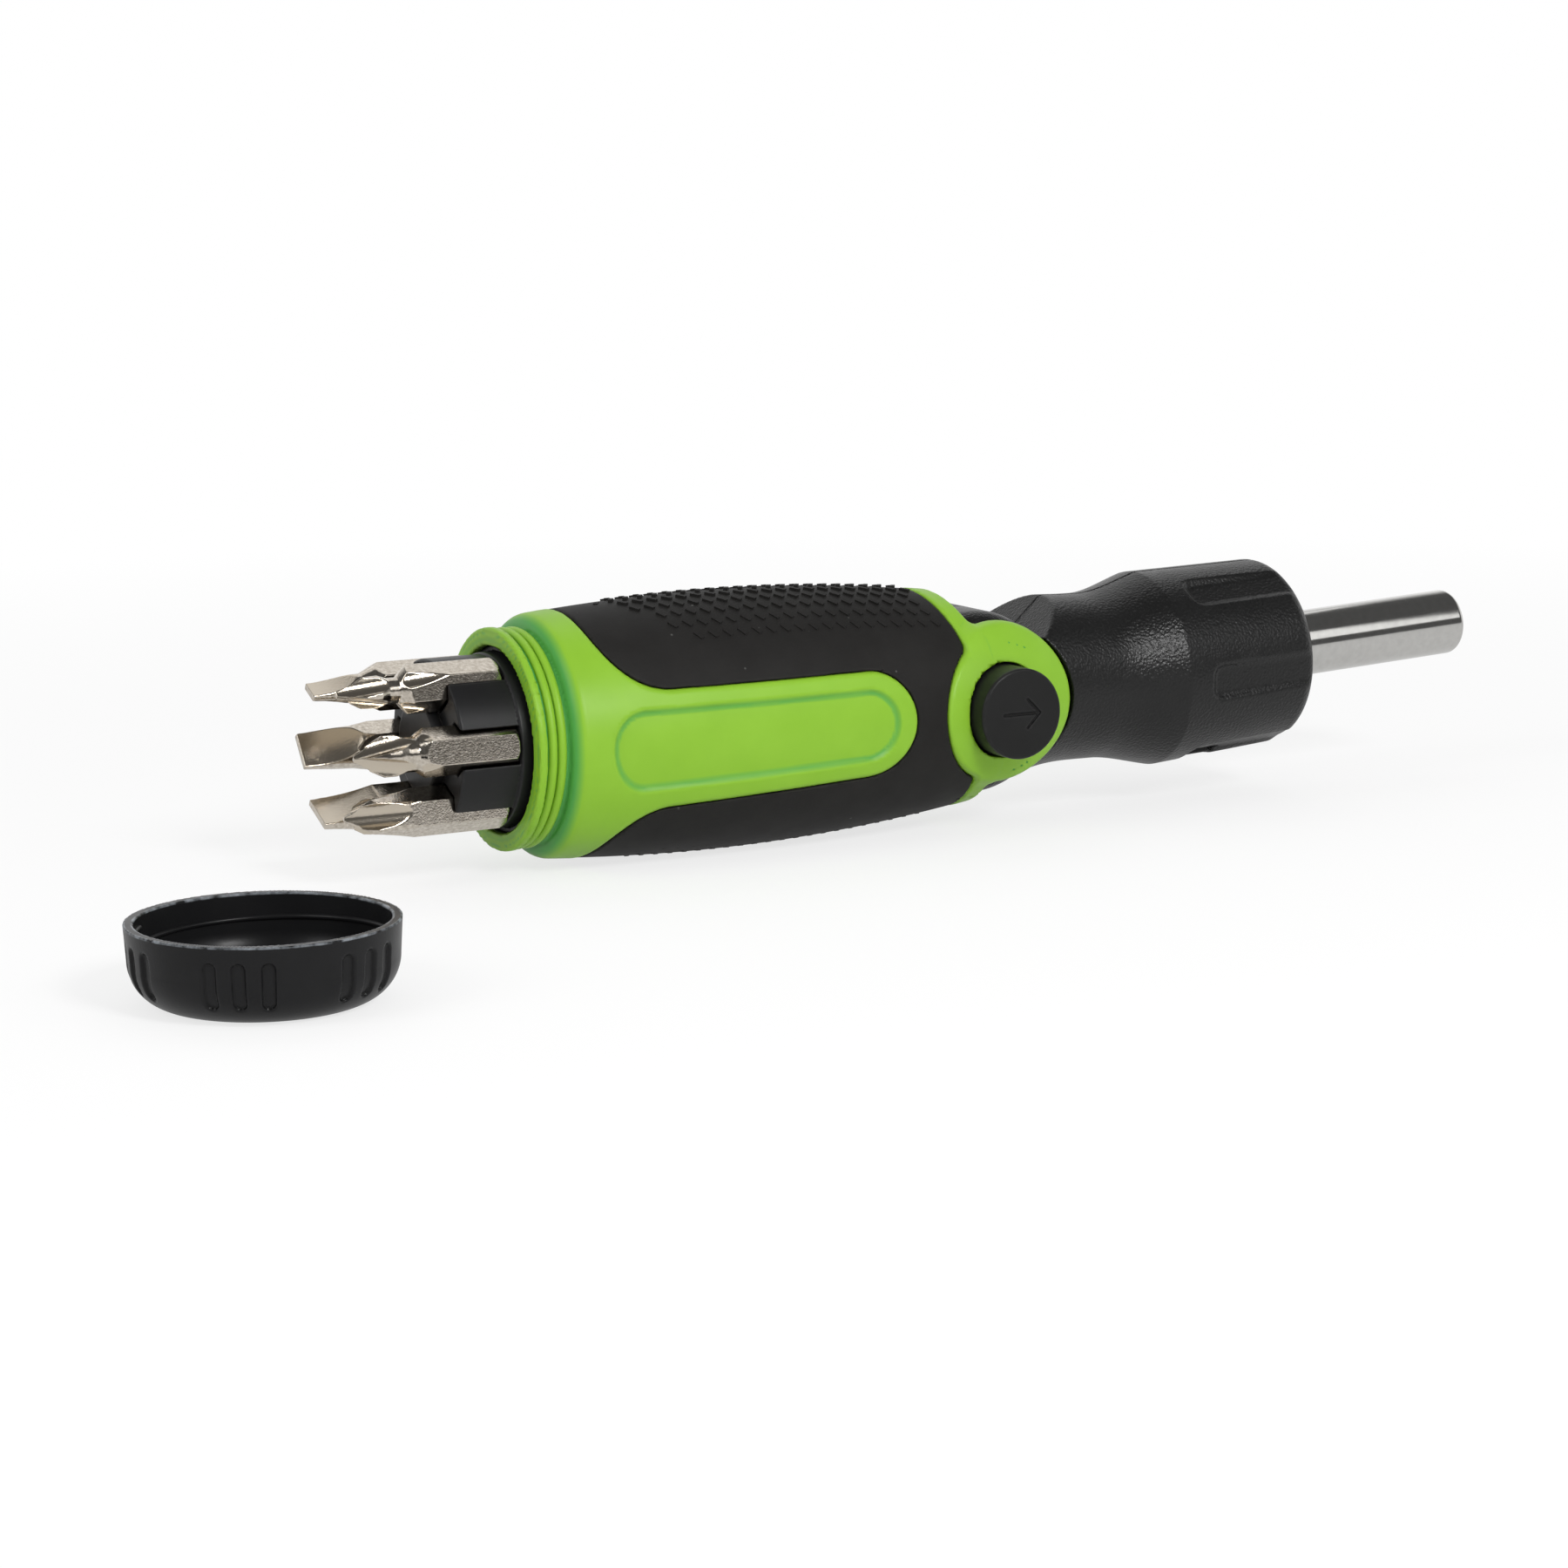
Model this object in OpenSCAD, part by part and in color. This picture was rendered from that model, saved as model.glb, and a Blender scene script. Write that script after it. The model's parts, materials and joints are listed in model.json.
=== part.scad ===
// Pivoting ratchet screwdriver: a handle that stores six bits behind a screw cap, and a barrel
// that folds up from straight to a pistol grip. The handle lies along +X and the cap lies beside it.

/* [Handle] */
// Distance from the pivot axis back to the open rim of the handle
handle_l = 79.4; // [74:0.1:95]
// Length of the threaded neck behind the shoulder
neck_l = 5.1; // [4:0.1:8]
// Radius of the neck at the root of its thread
neck_r = 16.1; // [15.6:0.05:17]
// Radius of the bit store inside the neck
store_r = 14.4; // [14.2:0.05:15]
// How far the lip at the rim stands in from the bit store
store_lip = 0.4; // [0.2:0.05:0.5]
// Depth of the bit store from the rim
store_depth = 44; // [42:0.5:52]
// Radius of the shoulder that the cap closes on
shoulder_r = 18.3; // [17.8:0.1:20]
// Rounding of the shoulder's edge
shoulder_round = 2; // [0.5:0.1:3]
// Radius of the handle near its front end
front_r = 17.6; // [17:0.1:19]
// How far the front radius is measured behind the pivot axis
front_back = 6; // [4:0.5:10]
// Height of the belly's crown over the line from shoulder to front
belly_crown = 1.9; // [1:0.1:3]
// Lean of the handle's front face from upright
rim_lean = 15.5; // [12:0.5:16]
// Where the front face crosses the handle's axis, ahead of the pivot
rim_ahead = 0.5; // [0.4:0.1:1]

/* [Grip] */
// Thickness of the soft sleeve let into the handle
grip_t = 2; // [1:0.1:2.4]
// Half height of the bare panel on each side
panel_half = 8.15; // [7:0.05:9]
// Distance from the pivot axis back to the front end of the side panel
panel_front = 16.8; // [15.5:0.1:20]
// Distance from the pivot axis back to where the panel runs into the rear collar
panel_rear = 58; // [52:0.5:60]
// Radius of the sleeve's rear corners
grip_corner = 10.5; // [8:0.5:11]
// Width of the bare band left in front of the sleeve
rim_band = 2.7; // [2:0.1:4]
// Half height of the label recess in the side panel
label_half = 5.6; // [4:0.1:6.5]
// Distance from the pivot axis back to the front end of the label recess
label_front = 20.5; // [19.5:0.1:24]
// Distance from the pivot axis back to the rear end of the label recess
label_rear = 69.3; // [60:0.1:71]
// Depth of the label recess
label_d = 0.4; // [0.2:0.05:0.8]

/* [Pivot] */
// Radius of the ears at their edge
ear_r = 14; // [13.5:0.1:14.5]
// Radius of the bare ring round each ear, where the sleeve stops
ear_ring_r = 12.3; // [11.8:0.1:13]
// Half distance between the ears
ear_gap = 10.3; // [9.8:0.05:11]
// Radius of the ears' outside, measured from the handle's axis
ear_crown_r = 18; // [17.6:0.1:19]
// Distance ahead of the pivot axis where the ears' outside has fallen to the barrel
ear_fall_x = 13; // [12:0.5:15]
// Radius of the ears' outside at that place
ear_fall_r = 14.2; // [13.8:0.1:15]
// Radius of the barrel's hub
hub_r = 14.4; // [14:0.1:14.6]
// Rounding of the hub's edges
hub_round = 4; // [3.8:0.1:4.6]
// Running gap between the hub or the ears and what they turn in
swing_gap = 0.4; // [0.3:0.05:0.5]
// Gap on each side of the hub
side_gap = 0.3; // [0.2:0.05:0.5]
// Radius of the button
button_r = 7.07; // [6:0.01:7.3]
// How far the button's face stands from the middle of the tool
button_face = 21.4; // [20.9:0.1:23]
// Travel of the button
button_travel = 2.6; // [2:0.1:3]
// Radius of the pivot bolt
bolt_r = 3; // [2:0.1:3.5]
// Number of lock teeth
lock_teeth = 8; // [6:1:12]
// Width of a lock tooth
lock_tooth_w = 2.4; // [1.6:0.1:3]
// Radius of the lock gear at its tooth tips
lock_tip_r = 9.6; // [9.3:0.1:9.8]
// Radius of the lock gear between its teeth
lock_root_r = 8.4; // [8.3:0.05:8.8]

/* [Barrel] */
// Rise of the barrel's axis from the handle's axis in the straight position
barrel_rise = 2.83; // [0:0.01:3]
// Fold of the barrel that its stop facet leaves room for
fold_max = 60; // [40:1:60]
// Radius of the barrel where it meets the handle
root_r = 15.8; // [15.2:0.1:16.4]
// Smallest radius of the barrel's waist
waist_r = 13.4; // [13:0.1:14]
// Distance from the pivot axis to the waist
waist_x = 22; // [20:0.5:24]
// Distance from the pivot axis to the crease behind the fluted nose
crease_x = 35.5; // [34:0.1:37]
// Radius of the nose at the crease
nose_rear_r = 15.8; // [15.6:0.1:17]
// Radius of the nose at its front
nose_front_r = 15.2; // [15.1:0.1:16.5]
// Distance from the pivot axis to the front of the nose
nose_x = 61; // [60.6:0.1:66]
// Rounding of the nose's front edge
nose_round = 3; // [1:0.1:4]
// Number of flutes round the nose
flutes = 6; // [6:6:6]
// Width of a flute
flute_w = 6; // [4:0.1:7]
// Distance from the nose's axis to the floor of a flute
flute_floor = 14.55; // [14.4:0.05:14.9]
// Distance from the pivot axis to the rear end of the flutes
flute_x = 40; // [38:0.5:44]
// Width of the seam between the barrel's halves
seam = 0.12; // [0.05:0.01:0.2]

/* [Drive] */
// Radius of the drive shaft
shaft_r = 5.4; // [5.2:0.05:5.6]
// Distance from the pivot axis to the tip of the shaft
shaft_tip = 98.5; // [90:0.5:120]
// Width across flats of the bit socket
socket_af = 6.5; // [6.4:0.01:6.6]
// Depth of the bit socket
socket_l = 12; // [9:0.5:16]
// Teeth of the ratchet gear
ratchet_teeth = 24; // [24:12:24]
// Radius of the ratchet gear at its tips
ratchet_tip_r = 9.2; // [9:0.05:9.3]
// Radius of the ratchet gear between its teeth
ratchet_root_r = 8; // [7.6:0.1:8.2]
// Turn of the direction rocker each way
rocker_turn = 8.5; // [5:0.5:9]
// Running clearance of the shaft in its bushes
run_gap = 0.05; // [0.02:0.01:0.1]

/* [Bits] */
// Width across flats of a bit
bit_af = 6.35; // [6.2:0.01:6.4]
// Length of a bit
bit_l = 25; // [22:0.5:27]
// Radius of the ring that the bits stand on
bit_ring_r = 10.4; // [10.2:0.05:10.5]
// Turn of the ring of bits about the handle's axis
bit_ring_turn = 5; // [0:1:30]
// How far the bits' rear ends stand out of the rim
bit_out = 1.6; // [1.2:0.1:4]
// Clearance round a bit in the carrier
bit_gap = 0.25; // [0.1:0.05:0.3]
// Radius of the carrier's ribs between the bits
rib_r = 12.9; // [11:0.1:13.2]
// How far the ribs reach out of the rim
rib_out = 10.6; // [6:0.1:14]
// How far the carrier's core reaches out of the rim
core_out = 15.2; // [11:0.1:18]
// Sliding clearance of the carrier in the bit store
carrier_gap = 0.25; // [0.2:0.05:0.4]

/* [Cap] */
// Outer radius of the cap at its rim
cap_r = 17.8; // [17.6:0.1:20]
// Height of the cap
cap_h = 10.8; // [9:0.1:16]
// Thickness of the cap's wall
cap_wall = 1.3; // [1:0.05:1.4]
// How far the cap's wall draws in from the rim down to its rounded base
cap_draw = 0.3; // [0:0.05:0.6]
// Thickness of the cap's floor
cap_floor = 1.8; // [1.2:0.1:3]
// Radius of the flat that the cap stands on
cap_foot_r = 11.5; // [8:0.5:14]
// Distance from the pivot axis back to the cap's middle
cap_back = 140; // [130:1:170]
// Distance from the handle's axis sideways to the cap's middle
cap_aside = 62; // [45:1:90]

/* [Hidden] */
$fn = 144;
far = 200;
touch = 0.01;

// Clearance between flat faces that meet, and angle between the points of a round edge
face_gap = 0.1;
arc_step = 7.5;

// Stations along the handle, from the pivot axis
rim_x = -handle_l;
shoulder_x = rim_x + neck_l;
front_x = -front_back;
handle_end = 8;
belly_steps = 24;

// Belly of the handle, a shallow arc from shoulder to front that runs on to the front face
function belly_t(x) = (x - shoulder_x) / (front_x - shoulder_x);
function belly_r(x) = shoulder_r + (front_r - shoulder_r) * belly_t(x)
    + 4 * belly_crown * belly_t(x) * (1 - belly_t(x));
belly_slope = front_r - shoulder_r + 4 * belly_crown;
belly_max = shoulder_r + belly_slope * belly_slope / (16 * belly_crown);
function belly_x(i) = shoulder_x + shoulder_round
    + (handle_end - shoulder_x - shoulder_round) * i / belly_steps;

// Outside of the ears, falling towards the barrel
ear_top_x = -4;
ear_steps = 16;
ear_end = ear_fall_x + 2;
function ear_out(x) = ear_crown_r
    - (ear_crown_r - ear_fall_r) * pow((x - ear_top_x) / (ear_fall_x - ear_top_x), 2);
function ear_crown(x0, x1) = [for (i = [0 : ear_steps]) let (x = x0 + (x1 - x0) * i / ear_steps)
    [ear_out(x), x]];

// Stations along the pivot axis, from the middle of the tool
hub_half = ear_gap - side_gap;
boss_wall = 1.6;
boss_r = lock_tip_r + boss_wall;
boss_h = 1;
boss_root = 0.6;
slot_wall = 0.5;
boss_out = hub_half + boss_h;
chamber_in = boss_out + side_gap;
chamber_out = chamber_in + button_travel;
lock_gap = 0.2;
lock_t = 3;
lock_out = boss_out - face_gap;
lock_in = lock_out - lock_t;
lock_floor = 3;
lock_cup_gap = 0.6;
lock_cup_d = 1.2;
button_gap = 0.33;
button_flange_r = lock_root_r - side_gap;
button_flange_t = 1.4;
button_flange_out = chamber_out - lock_gap;
push_r = 4;
bolt_head_r = 5.5;
bolt_head_t = 2;
bolt_web = 3.9;
bolt_seat = ear_gap + bolt_web;
bolt_past = 1.6;
bolt_end = lock_floor + bolt_past;
clip_t = 0.8;
clip_r = 5;
clip_out = lock_floor + lock_gap;
pivot_cap_r = 6.95;
pivot_cap_in = bolt_seat + bolt_head_t + face_gap;
spring_r = 7.2;
spring_wire = 1.2;

// Stations along the barrel's own axis
facet_spare = 3.4;
facet_angle = 90 + rim_lean - barrel_rise - fold_max - facet_spare;
floor_spare = 3;
floor_angle = -90 + rim_lean - barrel_rise + floor_spare;
root_x = -4;
neck_end = waist_x + 2;
curve_steps = 12;
function root_curve(x) = waist_r + (root_r - waist_r) * pow((waist_x - x) / waist_x, 2);
function smooth(t) = t * t * (3 - 2 * t);
function flare(x) = waist_r + (nose_rear_r - waist_r) * smooth((x - neck_end) / (crease_x - neck_end));
nose_taper_x = nose_x - nose_round;
rear_bush_x = 29.5;
rear_bush_l = 6.2;
rear_bush_r = 7;
journal_r = 4;
journal_step = 36;
journal_end = 26.6;
ring_x = 28.2;
ring_t = 1;
ring_r = 6;
ring_groove_r = 3.4;
ring_room = 0.6;
ring_room_x = journal_end - 1;
gear_x = 40;
gear_l = 7;
chamber_r = 10;
web_x = 48.5;
web_gap = 0.4;
web_bore_r = shaft_r + web_gap;
front_bush_x = 53;
front_bush_r = 8;
flange_t = 1.2;
flange_r = 9.5;
bush_inset = 0.3;
magnet_r = 3;
magnet_l = 3.1;
shaft_round = 1.1;

// Pawl, rocker and detent, under the ratchet gear
pin_z = -11.9;
pin_r = 1;
pin_x0 = 38.6;
pin_x1 = 48.2;
pawl_x0 = 40.2;
pawl_l = 6.6;
pocket_x0 = 39.6;
pocket_half = 4.9;
pocket_top = -9;
pocket_floor = -13.8;
tail_end = 51.8;
tail_half = 2.4;
tail_top = -12.3;
pawl_floor = -13.1;
pawl_foot = 3;
pawl_half = 4.2;
pawl_low = -11.6;
pawl_high = -10.2;
pawl_saddle = 2.7;
nose_out = 0.25;
nose_in = 0.2;
nose_angle = 22.5;
nose_clear = 0.35;
nose_tip_r = ratchet_tip_r + nose_clear;
pawl_gap = 0.6;
tail_gap = 0.4;
rocker_half = 3.6;
rocker_face = 15.25;
rocker_clear = 0.4;
rocker_gap = (rocker_face + pin_z) * sin(rocker_turn) + rocker_clear;
rocker_inset = 0.3;
finger_r = 2.2;
finger_out = 1.6;
ball_r = 1;
ball_x = 50.5;
ball_z = -11;
ball_hole_r = 1.15;
ball_hole_top = -6.6;
coil_r = 1;
coil_bore_r = 0.6;

// Screws that hold the barrel's halves together, as stations [along, up]
screw_r = 1.25;
screw_head_r = 2.4;
screw_head_t = 1.6;
cross_l = 2.6;
cross_w = 0.7;
cross_d = 0.8;
screw_seat = 5;
screw_end = 5.5;
screw_at = [[19, 8.6], [19, -8.6], [44, 12.2], [57, -11.6]];

// Bits and their carrier
bit_rear = rim_x - bit_out;
bit_r = bit_af / 2 / cos(30);
bit_chamfer = 0.6;
lip_l = 1;
lip_r = store_r - store_lip;
plug_gap = 0.2;
plug_rear = rim_x + lip_l + plug_gap;
plug_l = 12;
plug_wall = 2.2;
plug_floor = 3;
core_r = bit_ring_r - bit_af / 2 - bit_gap;
boss_inset = 0.4;
boss_rear_r = bit_ring_r + bit_af / 2 - boss_inset;
bit_seat_gap = 0.2;
tip_l = 11;
hex_l = bit_l - tip_l;
waist_in = 1.6;
waist_out = 3.2;
waist_end = 4.6;
blade_round = 16;
blade_t = 1;
blade_neck = 3;
blade_flare = 0.4;
flute_runout = 1;
flute_r = 2.2;
flute_core = 0.4;

// Shape of the cap's rounded base
cap_dome_h = 6;
cap_low_r = cap_r - cap_draw;
cap_in_r = cap_r - cap_wall;
cap_in_low_r = cap_low_r - cap_wall;
cap_foot_wall = 1;
cap_in_foot_r = cap_foot_r - cap_foot_wall;

// Middle of the assembly's box, which the frame's origin stands under
reach_front = shaft_tip * cos(barrel_rise) + (shaft_r - shaft_round) * sin(barrel_rise);
reach_rear = max(cap_back + cap_r, handle_l + bit_out + bit_l);
reach_side = cap_aside + cap_r;
mid_x = (reach_front - reach_rear) / 2;
mid_y = (belly_max - reach_side) / 2;

module at_pivot() translate([-mid_x, -mid_y, belly_max]) children();
module on_barrel() at_pivot() rotate([0, -barrel_rise, 0]) children();
module revolve_x(points) rotate([0, 90, 0]) rotate_extrude() polygon(points);
module rod_x(r, x0, x1) translate([x0, 0, 0]) rotate([0, 90, 0]) cylinder(r = r, h = x1 - x0);
module rod_y(r, y0, y1) translate([0, y0, 0]) rotate([-90, 0, 0]) cylinder(r = r, h = y1 - y0);
module side_prism() rotate([90, 0, 0]) linear_extrude(2 * far, center = true) children();

// Drum of the hub with its rounded edges, grown all round by some distance
module hub_drum(grow, half) {
    r = hub_r + grow;
    edge = [for (a = [0 : arc_step : 90]) [r - hub_round * (1 - cos(a)), half - hub_round * (1 - sin(a))]];
    other = [for (i = [len(edge) - 1 : -1 : 0]) [edge[i][0], -edge[i][1]]];
    rotate([-90, 0, 0]) rotate_extrude() polygon(concat([[0, -half]], other, edge, [[0, half]]));
}

// Everything in front of the handle's leaning front face, moved back by some distance
module ahead_of_rim(back) translate([rim_ahead, 0, 0]) rotate([0, -rim_lean, 0])
    translate([-back, -far, -far]) cube(2 * far);

// Everything on the upper side of a plane through the pivot axis at some angle above +X
module above_ray(angle) rotate([0, -angle, 0]) translate([-far, -far, 0]) cube(2 * far);

// Everything on the lower side of such a plane
module below_ray(angle) rotate([0, -angle, 0]) translate([-far, -far, -2 * far]) cube(2 * far);

// Stadium outline in side view, from a round front end back to a flat or round rear end
module stadium(half, x_front, x_rear, round_rear) {
    translate([-x_front - half, 0]) circle(half);
    rear = round_rear ? x_rear - half : x_rear;
    translate([-rear, -half]) square([rear - x_front - half, 2 * half]);
    if (round_rear) translate([-rear, 0]) circle(half);
}

// Outline of the soft sleeve in side view
module sleeve_outline() {
    difference() {
        union() {
            translate([-panel_rear, -far / 2]) square([panel_rear + handle_end, far]);
            for (side = [-1, 1])
                translate([-panel_rear, side * (panel_half + grip_corner)]) circle(grip_corner);
        }
        stadium(panel_half, panel_front, panel_rear + grip_corner + 2, false);
        circle(ear_ring_r);
    }
}

// Solid of revolution of the whole handle, without its ears
module handle_blank() {
    corner = [for (a = [0 : arc_step : 90 - arc_step])
        [shoulder_r - shoulder_round * (1 - sin(a)), shoulder_x + shoulder_round * (1 - cos(a))]];
    belly = [for (i = [0 : belly_steps]) [belly_r(belly_x(i)), belly_x(i)]];
    revolve_x(concat([[0, rim_x], [neck_r, rim_x], [neck_r, shoulder_x]], corner, belly, [[0, handle_end]]));
}

// Skin of the belly, from its outside down to some depth
module belly_skin(depth) {
    outside = [for (i = [0 : belly_steps]) [belly_r(belly_x(i)), belly_x(i)]];
    inside = [for (i = [belly_steps : -1 : 0]) [belly_r(belly_x(i)) - depth, belly_x(i)]];
    revolve_x(concat(outside, inside));
}

module sleeve_solid() {
    difference() {
        intersection() {
            belly_skin(grip_t);
            side_prism() sleeve_outline();
        }
        ahead_of_rim(rim_band);
        hub_drum(swing_gap + slot_wall, ear_gap + slot_wall);
    }
}

// One ear on each side of the hub, as deep as the body behind it
module ears() {
    difference() {
        intersection() {
            revolve_x(concat([[0, -ear_r]], ear_crown(-ear_r, ear_end), [[0, ear_end]]));
            union() {
                rod_y(ear_ring_r, -far, far);
                intersection() {
                    rod_y(ear_r, -far, far);
                    ahead_of_rim(rim_band);
                }
            }
        }
        rod_y(far, -ear_gap, ear_gap);
    }
}

module lock_outline(grow) {
    tooth_half = lock_tooth_w / 2 + grow;
    circle(lock_root_r + grow);
    for (i = [0 : lock_teeth - 1])
        rotate(360 * i / lock_teeth) translate([0, -tooth_half]) square([lock_tip_r + grow, 2 * tooth_half]);
}
module lock_prism(grow, d_in, d_out) translate([0, -d_in, 0]) rotate([90, 0, 0])
    linear_extrude(d_out - d_in) lock_outline(grow);

module handle_core() color("yellowgreen") at_pivot() {
    difference() {
        union() {
            difference() {
                handle_blank();
                ahead_of_rim(0);
                hub_drum(swing_gap, ear_gap);
            }
            ears();
        }
        sleeve_solid();
        difference() {
            intersection() {
                belly_skin(label_d);
                side_prism() stadium(label_half, label_front, label_rear, true);
            }
            translate([-far, -panel_half, -far]) cube([2 * far, 2 * panel_half, 2 * far]);
        }
        rod_x(lip_r, rim_x - 1, rim_x + lip_l + touch);
        rod_x(store_r, rim_x + lip_l, rim_x + store_depth);
        rod_y(boss_r + run_gap, -chamber_in, -hub_half + boss_root);
        lock_prism(lock_gap, chamber_in - touch, chamber_out);
        rod_y(button_r + button_gap, -far, -chamber_out + touch);
        rod_y(bolt_r, 0, far);
        rod_y(pivot_cap_r, bolt_seat, far);
    }
}

module grip_sleeve() color([0.16, 0.16, 0.16]) at_pivot() sleeve_solid();

module pivot_bolt() color("silver") at_pivot() {
    rod_y(bolt_r, -bolt_end, bolt_seat);
    rod_y(bolt_head_r, bolt_seat, bolt_seat + bolt_head_t);
}

module pivot_clip() color("dimgray") at_pivot() difference() {
    rod_y(clip_r, -clip_out - clip_t, -clip_out);
    rod_y(bolt_r, -far, far);
}

module pivot_cap() color([0.16, 0.16, 0.16]) at_pivot() intersection() {
    rod_y(pivot_cap_r, pivot_cap_in, far);
    revolve_x(concat([[0, -ear_r]], ear_crown(-ear_r, ear_r), [[0, ear_r]]));
}

module pivot_button() color([0.16, 0.16, 0.16]) at_pivot() {
    rod_y(button_r, -button_face, -button_flange_out);
    rod_y(button_flange_r, -button_flange_out, -button_flange_out + button_flange_t);
    rod_y(push_r, -button_flange_out + button_flange_t, -lock_out - face_gap);
}

module lock_gear() color("silver") on_barrel() difference() {
    lock_prism(0, lock_in, lock_out);
    rod_y(bolt_r + lock_cup_gap, -lock_in - lock_cup_d, 0);
}

module lock_spring() color("silver") on_barrel() difference() {
    rod_y(spring_r, -lock_in + button_travel + lock_gap, -lock_floor);
    rod_y(spring_r - spring_wire, -far, far);
}

// Outside of the barrel: root, waist, flare, fluted nose
module barrel_blank() {
    root = [for (i = [0 : curve_steps]) let (x = waist_x * i / curve_steps) [root_curve(x), x]];
    neck = [for (i = [0 : curve_steps]) let (x = neck_end + (crease_x - neck_end) * i / curve_steps)
        [flare(x), x]];
    front = [for (a = [0 : arc_step : 90])
        [nose_front_r - nose_round * (1 - cos(a)), nose_taper_x + nose_round * sin(a)]];
    start = [[0, root_x], [root_curve(root_x), root_x]];
    difference() {
        revolve_x(concat(start, root, neck, front, [[0, nose_x]]));
        for (i = [0 : flutes - 1]) rotate([360 * (i + 0.5) / flutes, 0, 0]) {
            translate([flute_x + flute_w / 2, -flute_w / 2, flute_floor]) cube([far, flute_w, far]);
            translate([flute_x + flute_w / 2, 0, flute_floor]) cylinder(d = flute_w, h = far);
        }
    }
}

// Hollows inside the barrel for the drive and the direction rocker
module barrel_hollows() {
    rod_x(ring_r + ring_room, ring_room_x, rear_bush_x + touch);
    rod_x(rear_bush_r, rear_bush_x, rear_bush_x + rear_bush_l);
    rod_x(chamber_r, rear_bush_x + rear_bush_l - touch, web_x);
    rod_x(web_bore_r, web_x - touch, front_bush_x + touch);
    rod_x(flange_r, front_bush_x, front_bush_x + flange_t);
    rod_x(front_bush_r, front_bush_x, far);
    translate([0, 0, pin_z]) rod_x(pin_r, pin_x0, pin_x1);
    translate([pocket_x0, -pocket_half, pocket_floor])
        cube([pawl_x0 + pawl_l + pawl_gap - pocket_x0, 2 * pocket_half, pocket_top - pocket_floor]);
    translate([pawl_x0, -tail_half - pawl_gap, pocket_floor])
        cube([tail_end + tail_gap - pawl_x0, 2 * (tail_half + pawl_gap), tail_top + tail_gap - pocket_floor]);
    translate([pawl_x0 - face_gap, -rocker_half - rocker_gap, -far])
        cube([pawl_l + 2 * face_gap, 2 * (rocker_half + rocker_gap), far + pocket_floor + touch]);
    translate([ball_x, 0, pocket_floor]) cylinder(r = ball_hole_r, h = ball_hole_top - pocket_floor);
}

// Both halves of the barrel as one, with the hub between the ears
module barrel_solid() {
    difference() {
        union() {
            difference() {
                barrel_blank();
                above_ray(facet_angle);
                below_ray(floor_angle);
                rod_y(ear_r + swing_gap, -far, -hub_half);
                rod_y(ear_r + swing_gap, hub_half, far);
            }
            hub_drum(0, hub_half);
            rod_y(boss_r, -boss_out, -hub_half + boss_root);
        }
        lock_prism(lock_gap, lock_floor, boss_out + touch);
        rod_y(bolt_r + run_gap, -far, far);
        barrel_hollows();
        for (at = screw_at) translate([at[0], 0, at[1]]) {
            rod_y(screw_r, -screw_end, far);
            rod_y(screw_head_r, screw_seat, far);
        }
    }
}

module barrel_half(side) intersection() {
    barrel_solid();
    translate([-far, side > 0 ? seam / 2 : -far - seam / 2, -far]) cube([2 * far, far, 2 * far]);
}

module barrel_left() color([0.18, 0.18, 0.18]) on_barrel() barrel_half(-1);

module barrel_right() color([0.18, 0.18, 0.18]) on_barrel() barrel_half(1);

module barrel_screws() color("silver") on_barrel() for (at = screw_at) translate([at[0], 0, at[1]]) {
    rod_y(screw_r, -screw_end, screw_seat);
    difference() {
        rod_y(screw_head_r, screw_seat, screw_seat + screw_head_t);
        for (turn = [0, 90]) translate([0, screw_seat + screw_head_t, 0]) rotate([0, turn, 0])
            cube([cross_l, 2 * cross_d, cross_w], center = true);
    }
}

module shaft() color("silver") on_barrel() difference() {
    tip = [for (a = [0 : arc_step : 90])
        [shaft_r - shaft_round * (1 - cos(a)), shaft_tip - shaft_round * (1 - sin(a))]];
    revolve_x(concat([[0, journal_end], [journal_r, journal_end], [journal_r, ring_x], [ring_groove_r, ring_x],
        [ring_groove_r, ring_x + ring_t], [journal_r, ring_x + ring_t], [journal_r, journal_step],
        [shaft_r, journal_step]], tip, [[0, shaft_tip]]));
    translate([shaft_tip - socket_l, 0, 0]) rotate([0, 90, 0])
        cylinder(d = socket_af / cos(30), h = socket_l + 1, $fn = 6);
    rod_x(magnet_r, shaft_tip - socket_l - magnet_l, shaft_tip);
}

module magnet() color("gray") on_barrel()
    rod_x(magnet_r, shaft_tip - socket_l - magnet_l, shaft_tip - socket_l - face_gap);

module retaining_ring() color("dimgray") on_barrel() difference() {
    rod_x(ring_r, ring_x, ring_x + ring_t);
    rod_x(ring_groove_r, ring_x - 1, ring_x + ring_t + 1);
    translate([ring_x - 1, -ring_groove_r, 0]) cube([ring_t + 2, 2 * ring_groove_r, far]);
}

module ratchet_gear() color("gray") on_barrel() translate([gear_x, 0, 0]) rotate([0, 90, 0])
    linear_extrude(gear_l) difference() {
        pitch = 360 / ratchet_teeth;
        polygon([for (i = [0 : ratchet_teeth - 1]) for (c = [[-0.43, 0], [-0.08, 1], [0.08, 1], [0.43, 0]])
            let (r = ratchet_root_r + c[1] * (ratchet_tip_r - ratchet_root_r), a = (i + c[0]) * pitch)
            [r * cos(a), r * sin(a)]]);
        circle(shaft_r);
    }

module rear_bush() color("goldenrod") on_barrel() difference() {
    rod_x(rear_bush_r, rear_bush_x, rear_bush_x + rear_bush_l);
    rod_x(journal_r + run_gap, 0, far);
}

module front_bush() color("goldenrod") on_barrel() difference() {
    union() {
        rod_x(flange_r, front_bush_x, front_bush_x + flange_t);
        rod_x(front_bush_r, front_bush_x, nose_x - bush_inset);
    }
    rod_x(shaft_r + run_gap, 0, far);
}

module pawl_pin() color("silver") on_barrel() translate([0, 0, pin_z]) rod_x(pin_r, pin_x0, pin_x1);

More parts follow.
